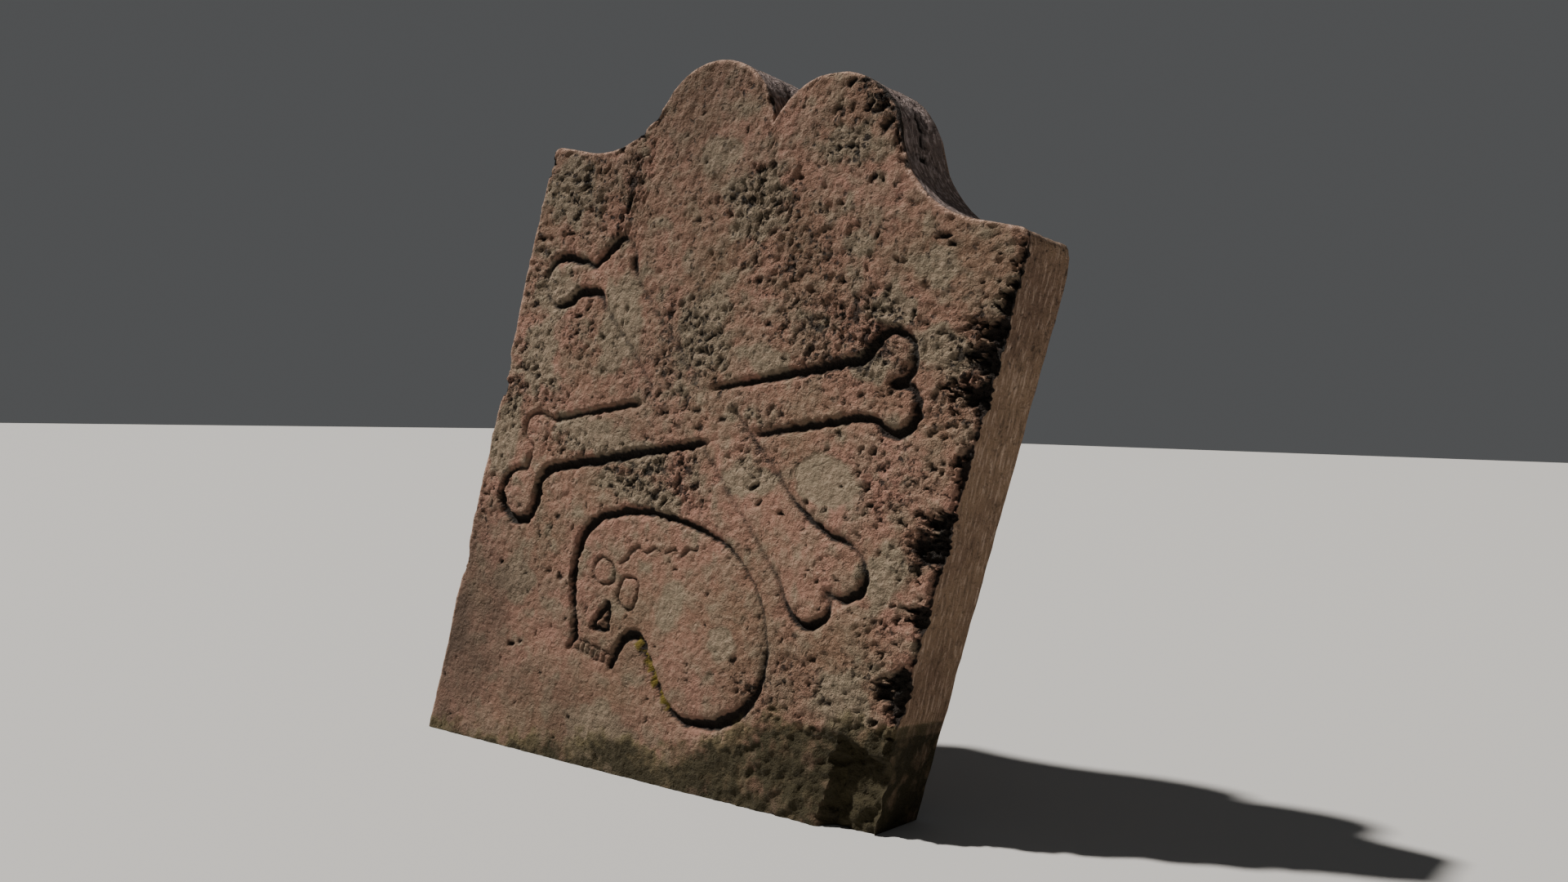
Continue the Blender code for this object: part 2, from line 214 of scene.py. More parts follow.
# %% [markdown]
# ## Lines of the carving
#
# The mason's lines are curves with a depth at each point: u, v and the share of the full depth.
# A bone's end is two knobs, each a circle. The neck from shaft to knob is an arc that touches
# both, and where the two circles cross, or come nearest, the line turns from one to the other.
# The skull is a smooth curve through a few places.

# %% Curves
def arc(centre, radius, start, end, step=math.radians(8)):
    """Points on a circle from one angle to another."""
    turns = np.linspace(start, end, max(3, math.ceil(abs(end - start) / step) + 1))
    return np.stack([centre[0] + radius * np.cos(turns), centre[1] + radius * np.sin(turns)], 1)


def bone_end(origin, slope, knobs, shaft=26.0, neck=30.0):
    """The line round one end of a bone, from its upper shaft line to its lower one, on the face."""
    sign = math.copysign(1.0, knobs[0][0])
    along = sign * np.array([math.cos(slope), math.sin(slope)])
    up = np.array([-math.sin(slope), math.cos(slope)])
    places = np.array([knob[:2] for knob in knobs], float) - origin
    centres = np.stack([places @ along, places @ up], 1)
    radii = [knob[2] for knob in knobs]
    gap = centres[1] - centres[0]
    length = float(np.hypot(*gap))
    way = math.atan2(gap[1], gap[0])
    halves = []
    for k, flip in ((0, 1), (1, -1)):
        x, y, radius = centres[k][0], flip * centres[k][1], radii[k]
        rise = shaft + neck - y
        run = math.sqrt(max(0.0, (neck + radius) ** 2 - rise**2))
        turn = math.atan2(-rise, run)
        opening = (radius**2 + length**2 - radii[1 - k] ** 2) / (2 * radius * length)
        start = turn + math.pi
        end = flip * way - (math.pi if flip < 0 else 0.0) + math.acos(min(1.0, opening))
        end = start - (start - end) % (2 * math.pi)
        half = np.concatenate([
            arc((x - run, shaft + neck), neck, -math.pi / 2, turn),
            arc((x, y), radius, start, end)[1:],
        ])
        half[:, 1] *= flip
        halves.append(half if flip > 0 else half[::-1])
    line = np.concatenate(halves)
    return np.asarray(origin, float) + line[:, :1] * along + line[:, 1:] * up


def smooth(points, step=2.5):
    """A curve through the points: the cubic whose slope is half the way between the neighbours."""
    p = np.array(points, float)
    run = np.concatenate([2 * p[:1] - p[1:2], p, 2 * p[-1:] - p[-2:-1]])
    pieces = []
    for a, b, c, d in zip(run, run[1:], run[2:], run[3:]):
        count = max(2, round(float(np.hypot(*(c - b)[:2])) / step))
        t = np.linspace(0, 1, count, endpoint=False)[:, None]
        bend = (2 * a - 5 * b + 4 * c - d) * t**2 + (3 * b - 3 * c + d - a) * t**3
        pieces.append(b + (c - a) * t / 2 + bend / 2)
    return np.concatenate([*pieces, p[-1:]])


def evenly(points, step=2.5):
    """The same chain of points with even steps along it."""
    p = np.array(points, float)
    length = np.concatenate([[0], np.cumsum(np.hypot(*np.diff(p[:, :2], axis=0).T))])
    at = np.linspace(0, length[-1], max(2, round(length[-1] / step) + 1))
    return np.stack([np.interp(at, length, column) for column in p.T], 1)


print("a circle has", len(arc((0, 0), 20, 0, 2 * math.pi)) - 1, "pieces")

# %% [markdown]
# The front bone lies over the other one, and its line is still clear. The weather has taken
# more of it in some places than in others, so shares of the depth run along each half.

# %% The front bone
FRONT_SLOPE = math.radians(21.2)
front_right = bone_end((0, -237), FRONT_SLOPE, ((204, -133, 24), (222, -176, 22)))
front_left = bone_end((0, -237), FRONT_SLOPE, ((-233, -307, 19), (-237, -381, 29)))


def along(line, shares):
    """Adds the share of the full depth, given at places along the line from 0 to 1."""
    run = np.concatenate([[0], np.cumsum(np.hypot(*np.diff(line, axis=0).T))])
    places, values = np.array(shares, float).T
    return np.column_stack([line, np.interp(run / run[-1], places, values)])


def shaft(start, end, shares):
    """A straight shaft line between two bone ends, its shares given at places from 0 to 1."""
    steps = np.linspace(0, 1, 60)[1:-1, None]
    return along(start + (np.array(end) - start) * steps, shares)


RIGHT_SHARES = (
    (0, 0.9), (0.12, 1.2), (0.28, 0.6), (0.42, 0.65), (0.5, 1.0), (0.58, 0.75), (0.72, 1.2),
    (0.88, 0.8), (1, 0.8),
)
LEFT_SHARES = ((0, 0.5), (0.25, 0.45), (0.42, 0.5), (0.55, 0.8), (0.75, 1.1), (1, 0.95))
UPPER_SHAFT = ((0, 0.5), (0.28, 0.6), (0.34, 0.1), (0.55, 0.1), (0.59, 0.55), (0.8, 0.75), (1, 0.95))
LOWER_SHAFT = ((0, 0.8), (0.28, 0.55), (0.33, 0.1), (0.44, 0.1), (0.48, 0.8), (1, 1.0))
front_bone = np.concatenate([
    along(front_right, RIGHT_SHARES), shaft(front_right[-1], front_left[-1], LOWER_SHAFT),
    along(front_left, LEFT_SHARES)[::-1], shaft(front_left[0], front_right[0], UPPER_SHAFT)])
print("the front bone is", round(float(np.ptp(front_bone[:, 0])), 0), "mm from end to end")

# %% [markdown]
# The hidden bone is so worn that its lines come and go: each is a smooth curve through places
# with their own share of the depth. The skull's line is treated the same way.

# %% The faint lines, the skull and its face
BACK_LEFT = (
    (-20, -205, 0.25), (-60, -175, 0.36), (-100, -146, 0.36), (-128, -124, 0.3), (-140, -113, 0.6),
    (-144, -100, 0.6), (-150, -90, 0.2), (-160, -83, 0.5), (-168, -82, 0.9), (-175, -88, 1.05),
    (-188, -105, 1.05), (-203, -118, 0.7), (-214, -117, 0.6), (-229, -116, 1.0), (-251, -117, 1.0),
    (-265, -125, 0.7), (-271, -137, 0.5), (-271, -150, 0.35), (-263, -163, 0.35),
    (-252, -171, 0.5), (-242, -171, 0.8), (-228, -163, 1.05), (-217, -153, 1.15),
    (-205, -147, 1.15), (-190, -145, 1.1), (-180, -147, 0.7), (-173, -154, 0.5),
    (-150, -171, 0.42), (-102, -205, 0.38), (-75, -228, 0.3),
)
BACK_RIGHT_TOP = (
    (40, -222, 0.25), (67, -240, 0.5), (97, -259, 0.45), (130, -281, 0.5), (150, -292, 0.6),
    (162, -297, 0.65), (182, -303, 0.7), (200, -304, 0.6), (213, -307, 0.5), (225, -313, 0.5),
    (231, -322, 0.7), (234, -333, 1.05), (231, -344, 1.15), (222, -352, 1.0), (210, -356, 0.6),
    (196, -354, 0.5),
)
BACK_RIGHT_LOW = (
    (198, -356, 0.5), (205, -363, 0.5), (204, -373, 0.7), (199, -381, 0.9), (191, -387, 1.05),
    (178, -392, 1.0), (168, -389, 0.8), (160, -383, 0.6), (150, -373, 0.5), (138, -359, 0.48),
    (119, -345, 0.45), (98, -330, 0.42), (86, -321, 0.4), (50, -296, 0.3), (9, -263, 0.1),
)
back_lines = [smooth(places) for places in (BACK_LEFT, BACK_RIGHT_TOP, BACK_RIGHT_LOW)]

SKULL = (
    (-109, -516, 0.3), (-103, -498, 0.85), (-113, -472, 0.75), (-124, -440, 0.9),
    (-126, -408, 1.0), (-112, -377, 1.05), (-70, -354, 0.85), (-20, -344, 0.8), (40, -344, 0.65),
    (88, -356, 0.5), (125, -386, 0.5), (145, -423, 0.5), (149, -460, 0.7), (134, -494, 1.2),
    (102, -518, 1.25), (62, -527, 0.8), (38, -516, 0.6), (12, -492, 0.8), (-14, -470, 1.0),
    (-35, -480, 1.0), (-43, -512, 0.8),
)
skull_line = smooth(SKULL)
SKULL_SLOPE = slice(round(0.42 * len(skull_line)), round(0.80 * len(skull_line)))


def rounded_square(u, v, a, b, share=1.0):
    """An eye: the closed curve on which |x / a|^3 + |y / b|^3 is 1."""
    turn = np.linspace(0, 2 * np.pi, 33)
    c, s = np.cos(turn), np.sin(turn)
    size = (np.abs(c) ** 3 + np.abs(s) ** 3) ** (-1 / 3)
    return np.column_stack([u + a * size * c, v + b * size * s, np.broadcast_to(share, 33)])


left_eye = rounded_square(-82, -422, 15.5, 12.5)
right_eye = rounded_square(-42, -432, 13.5, 16.0)
nose = np.array([(-66, -451, 1.0), (-58, -477, 0.8), (-82, -482, 0.8), (-66, -451, 1.1)])
teeth = [np.array([(-102, v, 0.8), (-46, v, 0.8)]) for v in (-500, -511)]
teeth += [np.array([(u, -500, 0.9), (u, -511, 0.9)]) for u in np.linspace(-102, -46, 8)[1:-1]]
brow = np.array([(-63, -408, 0.6), (-54, -400, 1.0), (-50, -388, 1.0), (-40, -383, 0.9), (-33, -388, 0.6),
                 (-20, -378, 1.0), (-8, -382, 0.6), (6, -371, 1.0), (16, -377, 0.7), (24, -366, 1.0),
                 (40, -362, 0.3)])

LINES = [(front_bone, 6.8, 8.0), *[(line, 5.6, 7.2) for line in back_lines], (skull_line, 6.2, 7.2),
         (left_eye, 2.7, 3.0), (right_eye, 2.7, 3.2), (nose, 4.2, 6.0), (brow, 2.6, 2.8)]
LINES += [(tooth, 2.4, 3.0) for tooth in teeth]
LINES = [(evenly(line), half, depth) for line, half, depth in LINES]
carved = sum(float(np.hypot(*np.diff(line[:, :2], axis=0).T).sum()) for line, _, _ in LINES)
print(len(LINES), "carved lines,", round(carved / 1000, 2), "m long in all")

# %% [markdown]
# ## How deep is the face at each point?
#
# The front is a height field: one depth for each grid point. The depth is the deepest of the
# grooves, the chips and the pits, over a gentle unevenness. Nothing stands proud of the flat
# face, so the skin stays inside the solid's box.

# %% Distance to a line
def nearest(u, v, line):
    """Distance to a chain of straight pieces, and the place on it, counted in pieces."""
    best, place = np.full(u.shape, 1e9), np.zeros(u.shape)
    for i, (a, b) in enumerate(zip(line[:-1, :2], line[1:, :2])):
        span = b - a
        share = np.clip(((u - a[0]) * span[0] + (v - a[1]) * span[1]) / max(1e-9, span @ span), 0, 1)
        distance = np.hypot(u - a[0] - share * span[0], v - a[1] - share * span[1])
        closer = distance < best
        best[closer] = distance[closer]
        place[closer] = i + share[closer]
    return best, place


def groove(u, v, line, half, depth):
    """Depth of one groove: depth x share x (1 - (distance / half)^2), where the half width
    shrinks with the share, so that a faint line is a thin one too, and is ragged."""
    made = np.zeros(u.shape)
    low, high = line[:, :2].min(0) - 2 * half, line[:, :2].max(0) + 2 * half
    near = (u > low[0]) & (u < high[0]) & (v > low[1]) & (v < high[1])
    distance, place = nearest(u[near], v[near], line)
    share = np.interp(place, np.arange(len(line)), line[:, 2])
    ragged = 1 + 0.3 * unevenness(u[near], v[near], 9, 29)
    reach = half * (0.5 + 0.5 * share) * ragged
    made[near] = depth * share * np.clip(1 - (distance / reach) ** 2, 0, 1)
    return made


def trough(u, v, line, half, depth):
    """A soft worn valley along a line: depth x (1 + cos(pi x distance / half)) / 2."""
    return depth * bump(nearest(u, v, line)[0], half)


print("the deepest groove goes", max(depth for _, _, depth in LINES), "mm into the stone")

# %% [markdown]
# The edges are worn round, most of all on the right lobe. A Bevel would round all of an edge
# alike, so the rounding is worked out from each point's distance to the outline instead.

# %% Worn edges
def edge_distance(u, v, every):
    """Distance of each grid point to the outline: up the right side, over the head and down the
    left, without the ground. `every` is the step by which the outline's points are thinned."""
    line_u = np.concatenate([u[:-1, -1], u[-1, ::-1], u[-2::-1, 0]])
    line_v = np.concatenate([v[:-1, -1], v[-1, ::-1], v[-2::-1, 0]])
    distance, _ = nearest(u, v, np.column_stack([line_u, line_v])[::every])
    distance[:, 0] = distance[:, -1] = distance[-1, :] = 0.0
    return distance


def edge_radius(u, v):
    """Radius to which the front edge is worn, largest on the right lobe's outer side."""
    lobe = bump(u - LOBE_OFFSET - 0.6 * LOBE_RADIUS, 0.65 * LOBE_RADIUS) * (v > 20) * (u > LOBE_OFFSET)
    return 5.0 + 7.0 * lobe + 1.6 * unevenness(u, v, 24, 21)


def worn_edge(radius, distance):
    """A quarter circle over the edge: radius - sqrt(radius^2 - (radius - distance)^2)."""
    inside = np.maximum(0, radius - distance)
    return radius - np.sqrt(np.maximum(0, radius**2 - inside**2))


print("edge worn to a radius of", round(float(edge_radius(grid_u, grid_v).max()), 1), "mm at most")

# %% [markdown]
# A chip on a side has a height, half a length along the edge and a bite inwards across the face;
# one on the head has a place, a size and a bite. Boolean cuts would leave clean scoops, but
# sandstone breaks in small shards: inside a chip each shard of the grid drops to its own depth.

# %% Broken edges
RIGHT_CHIPS = (
    (-24, 14, 5), (-62, 14, 9), (-90, 13, 17), (-114, 13, 27), (-147, 13, 30), (-206, 24, 7),
    (-260, 11, 17), (-285, 15, 27), (-343, 9, 20), (-412, 21, 25),
)
LEFT_CHIPS = ((-20, 22, 4), (-268, 26, 6), (-478, 16, 5))
HEAD_CHIPS = (
    (112, 107, 13, 8), (128, 98, 13, 11), (142, 86, 13, 11), (152, 70, 12, 9), (158, 54, 12, 8),
    (161, 38, 11, 6), (-12, 94, 13, 9), (-4, 78, 9, 7), (-158, 46, 8, 5), (-176, 24, 9, 5),
)
SPALL_U, SPALL_V, SPALL_DEPTH, SPALL_SLOPE = 250.0, -472.0, 15.0, 7.0


def shards(u, v, long, high, seed):
    """A number from 0 to 1 that is the same all over a ragged, roughly oblong shard of stone."""
    i = np.floor((u + 5.0 * unevenness(u, v, 13, seed)) / long)
    j = np.floor((v + 4.0 * unevenness(u, v, 13, seed + 1)) / high + 0.5 * i)
    return cell_number(i, j, seed + 2)


def chips(u, v, distance):
    """Broken edges. Where the ragged reach of a break passes the distance to the edge, the stone
    drops steeply, each shard to its own depth, and slopes on down to the edge."""
    ragged = 0.55 + 0.9 * shards(u, v, 8, 6, 31) + 0.35 * unevenness(u * 0.8, v * 1.3, 11, 37, 3)
    shard = 0.35 + 1.0 * shards(u + 3, v, 7, 5, 35)
    reach = np.zeros(u.shape)
    for cu, cv, half, bite in HEAD_CHIPS:
        reach = np.maximum(reach, bite * bump(np.hypot(u - cu, v - cv), 1.6 * half) ** 0.6)
    past = np.where(v > 10, np.maximum(0, reach * ragged - distance), 0)
    made = 5.5 * (1 - np.exp(-past / 1.5)) * shard + 0.2 * past
    for side, chain in ((1, RIGHT_CHIPS), (-1, LEFT_CHIPS)):
        reach = np.zeros(u.shape)
        for height, half, bite in chain:
            reach = np.maximum(reach, bite * bump(v - height, 1.35 * half) ** 0.6)
        reach = (reach + (3.8 if side > 0 else 0.5)) * ragged
        from_side = half_width(v, side) - u * side
        past = np.where((from_side < 60) & (v < 0), np.maximum(0, reach - from_side), 0)
        made = np.maximum(made, 6.0 * (1 - np.exp(-past / 1.5)) * shard + 0.22 * past)
    return made


def spall(u, v):
    """The flake lost at the foot: nothing outside its corner, then an uneven slope down."""
    ragged = 6.0 * unevenness(u, v, 22, 41, 4)
    inwards = np.minimum(u - SPALL_U, SPALL_V - v) + ragged
    uneven = 1 + 0.25 * unevenness(u, v, 16, 43, 4)
    return SPALL_DEPTH * uneven * np.clip(inwards / SPALL_SLOPE, 0, 1) ** 0.7


bites = [chip[-1] for chip in (*RIGHT_CHIPS, *LEFT_CHIPS, *HEAD_CHIPS)]
print(len(bites), "chips, the largest", max(bites), "mm across the face, and one lost flake")

# %% [markdown]
# Pits come in three kinds. The large ones stand where the stone shows them, so they are listed
# with their place, length, width and slant in degrees. Ragged ones and small round ones fill
# whole patches: `CROWDS` lists a patch's middle, its half width and height, and its crowding.

# %% Places of the pits
CROWDS = (
    (150, -125, 105, 62, 0.95), (-45, -190, 85, 75, 0.85), (-25, -305, 65, 42, 0.95),
    (-190, -310, 60, 20, 0.7), (-52, -316, 92, 30, 1.0), (70, -60, 110, 70, 0.50),
    (-240, -50, 75, 60, 0.55), (-172, -30, 24, 62, 1.0), (-243, -32, 22, 26, 1.0),
    (240, -240, 60, 60, 0.55), (95, 55, 70, 45, 0.45), (128, 92, 46, 30, 1.05),
    (0, -15, 45, 35, 0.8), (270, -400, 35, 90, 0.5), (-270, -240, 40, 60, 0.5),
    (288, -135, 42, 70, 1.05), (285, -280, 30, 42, 1.0), (-200, -190, 90, 50, 0.45),
    (60, -215, 60, 30, 0.5), (180, -440, 70, 40, 0.4), (200, -330, 40, 30, 0.35),
    (80, -262, 45, 28, 0.75), (-282, -150, 30, 60, 0.6), (-280, -275, 32, 42, 0.8),
    (-222, -262, 42, 28, 0.6), (-285, -400, 26, 60, 0.6), (140, -470, 42, 28, 0.8),
    (20, -20, 60, 42, 0.7), (-40, 95, 30, 24, 0.5),
)
PITS = (
    (-245, -22, 6, 3, 80), (-240, -36, 5, 4, 20), (-250, -52, 5, 3, 60), (-172, -8, 7, 4, 80),
    (-178, -24, 8, 4, 95), (-170, -42, 5, 3, 80), (-176, -62, 5, 3, 85), (-168, -76, 5, 3, 90),
    (-200, 10, 6, 4, 30), (-155, 43, 7, 4, 60), (0, 12, 8, 5, 10), (8, -12, 5, 3, 0),
    (-4, -24, 8, 3, 5), (12, -36, 9, 3, 90), (2, -48, 5, 3, 90), (-25, -15, 5, 3, 40),
    (30, -18, 6, 4, 30), (84, 104, 6, 5, 40), (97, 108, 7, 4, 10), (110, 85, 8, 5, 60),
    (122, 96, 7, 4, 40), (135, 70, 8, 5, 70), (155, 60, 6, 4, 70), (75, 78, 6, 4, 20),
    (78, 37, 6, 3, 40), (88, 43, 6, 3, 20), (100, 46, 6, 3, 0), (110, 40, 5, 3, 150),
    (135, 20, 7, 4, 50), (50, 10, 5, 4, 0), (155, -30, 6, 4, 70), (225, -20, 7, 4, 20),
    (235, -25, 5, 4, 0), (125, -300, 5, 4, 0), (86, -285, 8, 4, 40), (97, -298, 6, 3, 60),
    (-240, -460, 5, 4, 30), (-195, -540, 7, 4, 20), (-16, -160, 8, 3, 40), (-8, -154, 6, 3, 45),
    (-28, -158, 5, 4, 80), (-24, -228, 9, 3, 85), (-78, -198, 7, 3, 80), (-52, -245, 7, 3, 30),
    (-22, -330, 7, 3, 50), (-10, -308, 6, 3, 45), (-250, -250, 5, 4, 60), (-247, -200, 7, 2, 85),
    (-207, -174, 6, 4, 20), (-249, -90, 6, 3, 10), (-295, -103, 6, 4, 0), (-283, -228, 6, 3, 45),
    (213, -252, 6, 3, 60), (220, -266, 5, 3, 20), (196, -128, 5, 3, 0),
)


print(len(PITS), "listed pits, and", len(CROWDS), "patches crowded with small ones")

# %% [markdown]
# Not all of the face is equally rough. The skull and the stone below it are smooth, a flake came
# off cleanly beside the hidden bone, and the stone above the bones is the roughest.

# %% Rougher and smoother stone
def scar(u, v):
    """A smooth oval scar where a flake came off cleanly; pale and free of pits."""
    oval = np.hypot((u - 166) / 35, (v + 257) / 23)
    return np.clip((1.15 - oval + 0.15 * unevenness(u, v, 18, 97)) * 5, 0, 1)


def on_skull(u, v):
    """1 in the middle of the skull, falling to 0 past its outline, which is nearly an ellipse."""
    return bump(np.hypot((u - 15) / 130, (v + 432) / 88), 1.25)


BACK_AXIS = np.array([(-190, -128), (190, -345)], float)


def roughness(u, v):
    """Share of the usual roughness: more of it above the bones, less of it on the skull, the
    low stone, the scar and the hidden bone."""
    low = 0.8 * np.clip((-460 - v) / 60, 0, 1)
    smoothed = np.maximum(np.maximum(on_skull(u, v), low), scar(u, v))
    bone, _ = nearest(u, v, BACK_AXIS)
    upper = 1 + 0.5 * np.clip((v + 170) / 70, 0, 1)
    return upper * (1 - 0.5 * smoothed) * (1 - 0.45 * bump(bone, 50))


def crowding(u, v):
    """Share of the cells that hold a small pit: a low floor, soft patches, almost none on the skull."""
    share = np.full(u.shape, 0.05)
    for cu, cv, a, b, much in CROWDS:
        share = np.maximum(share, much * bump(np.hypot((u - cu) / a, (v - cv) / b), 1.35))
    foot = np.clip((-450 - v) / 60, 0, 1)
    return share * (1 - 0.95 * on_skull(u, v)) * (1 - 0.7 * foot) * (1 - 0.9 * scar(u, v))


skull_u, skull_v = np.array([15.0]), np.array([-432.0])
print("share of the roughness left on the skull", round(float(roughness(skull_u, skull_v)[0]), 2))

# %% [markdown]
# A listed pit is a slit with steep sides. The small ones come from noise that is bent by more
# noise, so that no two have the same outline, and from scattered round hollows.

# %% Pits
def large_pits(u, v):
    """The listed pits: steep-sided slits, each with its length, width and slant."""
    made = np.zeros(u.shape)
    for cu, cv, length, width, slant in PITS:
        near = (np.abs(u - cu) < 14) & (np.abs(v - cv) < 14)
        c, s = math.cos(math.radians(slant)), math.sin(math.radians(slant))
        du, dv = u[near] - cu, v[near] - cv
        ragged = 1 + 0.6 * unevenness(u[near], v[near], 7, 51)
        shell = (((du * c + dv * s) / length) ** 2 + ((dv * c - du * s) / (0.66 * width)) ** 2) * ragged
        made[near] = np.maximum(made[near], (2.0 + 0.5 * width) * np.clip(1 - shell, 0, 1) ** 0.5)
    return made


def small_pits(u, v):
    """Ragged pits where warped noise passes a threshold that falls as the crowding rises,
    and small round ones scattered among them."""
    x = u + 4.0 * unevenness(u, v, 13, 61)
    y = v + 4.0 * unevenness(u, v, 13, 62)
    crowd = crowding(u, v)
    ragged = unevenness(x * 1.15, y * 0.85, 12, 63, 4)
    lobe, right = bump(np.hypot((u - 132) / 46, (v - 92) / 34), 1), np.clip((u - 262) / 20, 0, 1)
    deep = 2.2 + 2.4 * np.maximum(lobe, right)
    worn = deep * np.clip((ragged - 0.80 + 0.72 * crowd) / 0.20, 0, 1)
    coarse = hollows(x, y, 9.5, crowd * 0.6, 3.2, 2.2, 71)
    fine = hollows(x, y, 6.0, crowd, 2.4, 1.6, 72)
    return np.maximum(np.maximum(worn, coarse), fine)


print("the deepest listed pit goes", round(float(large_pits(grid_u, grid_v).max()), 1), "mm in")

# %% [markdown]
# At the foot the stone is rough and furred with moss, and moss fills part of the groove under
# the jaw. Lichen grows in patches, each listed with its middle, half width and half height. All
# are masks from 0 to 1 over the grid, which the material uses again.

# %% Moss, earth and lichen as masks
JAW_MOSS = np.array([(-16, -474), (0, -482), (12, -494), (22, -505), (34, -514), (44, -521)], float)
LICHEN = (
    (-264, -48, 42, 34), (4, -18, 36, 44), (-252, -152, 34, 28), (-24, -156, 38, 52),
    (-141, -170, 30, 60), (132, -40, 22, 12), (226, -46, 24, 18), (252, -114, 32, 20),
    (185, -147, 20, 16), (166, -257, 38, 22), (73, -279, 36, 18), (-35, -583, 55, 30),
    (244, -441, 28, 28), (258, -318, 24, 28), (-120, -293, 95, 20), (-55, -329, 66, 16),
    (-256, -224, 28, 45), (100, 48, 36, 20), (-60, 20, 30, 20), (190, -90, 26, 18),
    (-280, -330, 22, 50), (20, -425, 18, 26), (95, -440, 20, 18), (-210, -470, 34, 28),
    (60, -165, 36, 14),
)


EARTH_PLACES, EARTH_REACH = (-310, -120, 0, 60, 110, 180, 310), (12, 24, 48, 40, 66, 100, 112)


def jaw_moss(u, v):
    """Tufts of moss along the groove under the jaw, gone 8.5 mm away."""
    distance, _ = nearest(u, v, JAW_MOSS)
    return bump(distance, 8.5) * np.clip(0.62 + 1.6 * unevenness(u, v, 8, 81, 2), 0, 1)


def earth(u, v, w):
    """Damp and moss above the ground: a hand's breadth at the right, little at the left."""
    height = v - ground_height(u, w)
    reach = np.interp(u, EARTH_PLACES, EARTH_REACH)
    ragged = 14 * unevenness(u, v, 30, 91) + 8 * unevenness(u, v, 9, 92)
    return np.clip((reach - height + ragged) / 26, 0, 1)


def lichen(u, v):
    """Pale grey-green patches with frayed borders."""
    made = np.zeros(u.shape)
    for cu, cv, a, b in LICHEN:
        made = np.maximum(made, 1.25 - np.hypot((u - cu) / a, (v - cv) / b))
    frayed = made + 0.45 * unevenness(u, v, 26, 95, 4)
    return np.maximum(np.clip(frayed * 1.3, 0, 1) * (1 - scar(u, v)), 0.6 * scar(u, v))


def grime(u, v):
    """Where the stone is darker and browner: the head, the face left of its middle, the lower
    left and a band at the foot."""
    head = 0.55 * np.clip((v + 110) / 190, 0, 1) * np.clip((120 - u) / 200, 0.4, 1)
    low = np.clip((-370 - v) / 120, 0, 1) * np.clip((-120 - u) / 130, 0.3, 1.15)
    belt = 0.3 * bump(np.hypot((u + 90) / 130, (v + 190) / 170), 1.2)
    foot = 0.55 * np.clip((-500 - v) / 60, 0, 1)
    worst = np.maximum(np.maximum(head, belt), np.maximum(low, foot))
    return worst * (0.85 + 0.4 * unevenness(u, v, 60, 171))


print(len(LICHEN), "patches of lichen; the stone is furred up to", max(EARTH_REACH), "mm high")

# %% [markdown]
# Now the front's depth is put together, and the carving comes first. The mason's lines have worn
# unevenly, so the places at which their depth is read wander a little.

# %% Depth of the carving
HIDDEN_HALF, HIDDEN_DEPTH = 9.0, 3.0
SKULL_HALF, SKULL_DEPTH = 15.0, 1.6


def carving(u, v):
    """Depth of all the carved lines and of the sharp ones alone, and the shade painted into them. Sharp
    grooves are taken from LINES; soft worn troughs follow the hidden bone and the skull's back."""
    wander_u = u + 1.4 * unevenness(u, v, 15, 101)
    wander_v = v + 1.4 * unevenness(u, v, 15, 102)
    cut, painted_shade = np.zeros(u.shape), np.zeros(u.shape)
    for line, half, full in LINES:
        made = groove(wander_u, wander_v, line, half, full)
        cut = np.maximum(cut, made)
        # Painted shade in the sharp grooves: full on the deep lines, half on the shallow ones.
        painted_shade = np.maximum(painted_shade, np.clip((made / full - 0.32) / 0.22, 0, 1) * (1.0 if full > 4 else 0.5))
    cut = cut * (1 + 0.15 * unevenness(u, v, 30, 103))
    carved = cut
    stipple = np.clip(0.85 + 0.9 * unevenness(u, v, 7, 105, 2), 0, 1)
    for line in back_lines:
        worn = trough(wander_u, wander_v, line[::3], HIDDEN_HALF, HIDDEN_DEPTH)
        carved = np.maximum(carved, worn)
        # Painted shade in patches along the worn troughs of the hidden bone.
        painted_shade = np.maximum(painted_shade, stipple * np.clip(0.36 * worn - 0.42, 0, 0.6))
    skull_back = trough(wander_u, wander_v, skull_line[SKULL_SLOPE][::4], SKULL_HALF, SKULL_DEPTH)
    return np.maximum(carved, skull_back), cut, painted_shade


print("worn lines: the hidden bone", HIDDEN_DEPTH, "mm deep, the back of the skull", SKULL_DEPTH, "mm")

# %% [markdown]
# Under everything lie slow waves and a crinkled skin of lumps, which keep to their mean height
# inside a groove so that the lines stay clean. Pits deepen what is already there by a third of
# their own depth. In the end the unevenness is lowered by `LEVEL`, which brings most of the
# face back to its plane. Grooves, breaks and pits also give the shade that the material paints into them.

# %% Depth of the front
MEAN_LUMP, LEVEL = 1.7, 0.9


def worn_skin(u, v, cut):
    """Slow waves, and a crinkled skin of lumps that keeps to its mean inside a sharp groove."""
    wavy = 0.5 * (1 + unevenness(u, v, 95, 111)) + 0.42 * (1 + unevenness(u, v, 27, 112, 4))
    bent_u, bent_v = u + 3 * unevenness(u, v, 14, 114), v + 3 * unevenness(u, v, 14, 115)
    crinkled = np.maximum(0, 0.35 + unevenness(bent_u, bent_v, 7.5, 116, 2))
    lumps = 0.8 * (1 + unevenness(u, v, 14, 117, 2)) + (1.0 + 1.5 * crowding(u, v)) * crinkled
    lumps = lumps + (MEAN_LUMP - lumps) * 0.75 * np.clip(cut / 2.5, 0, 1)
    return wavy + roughness(u, v) * lumps


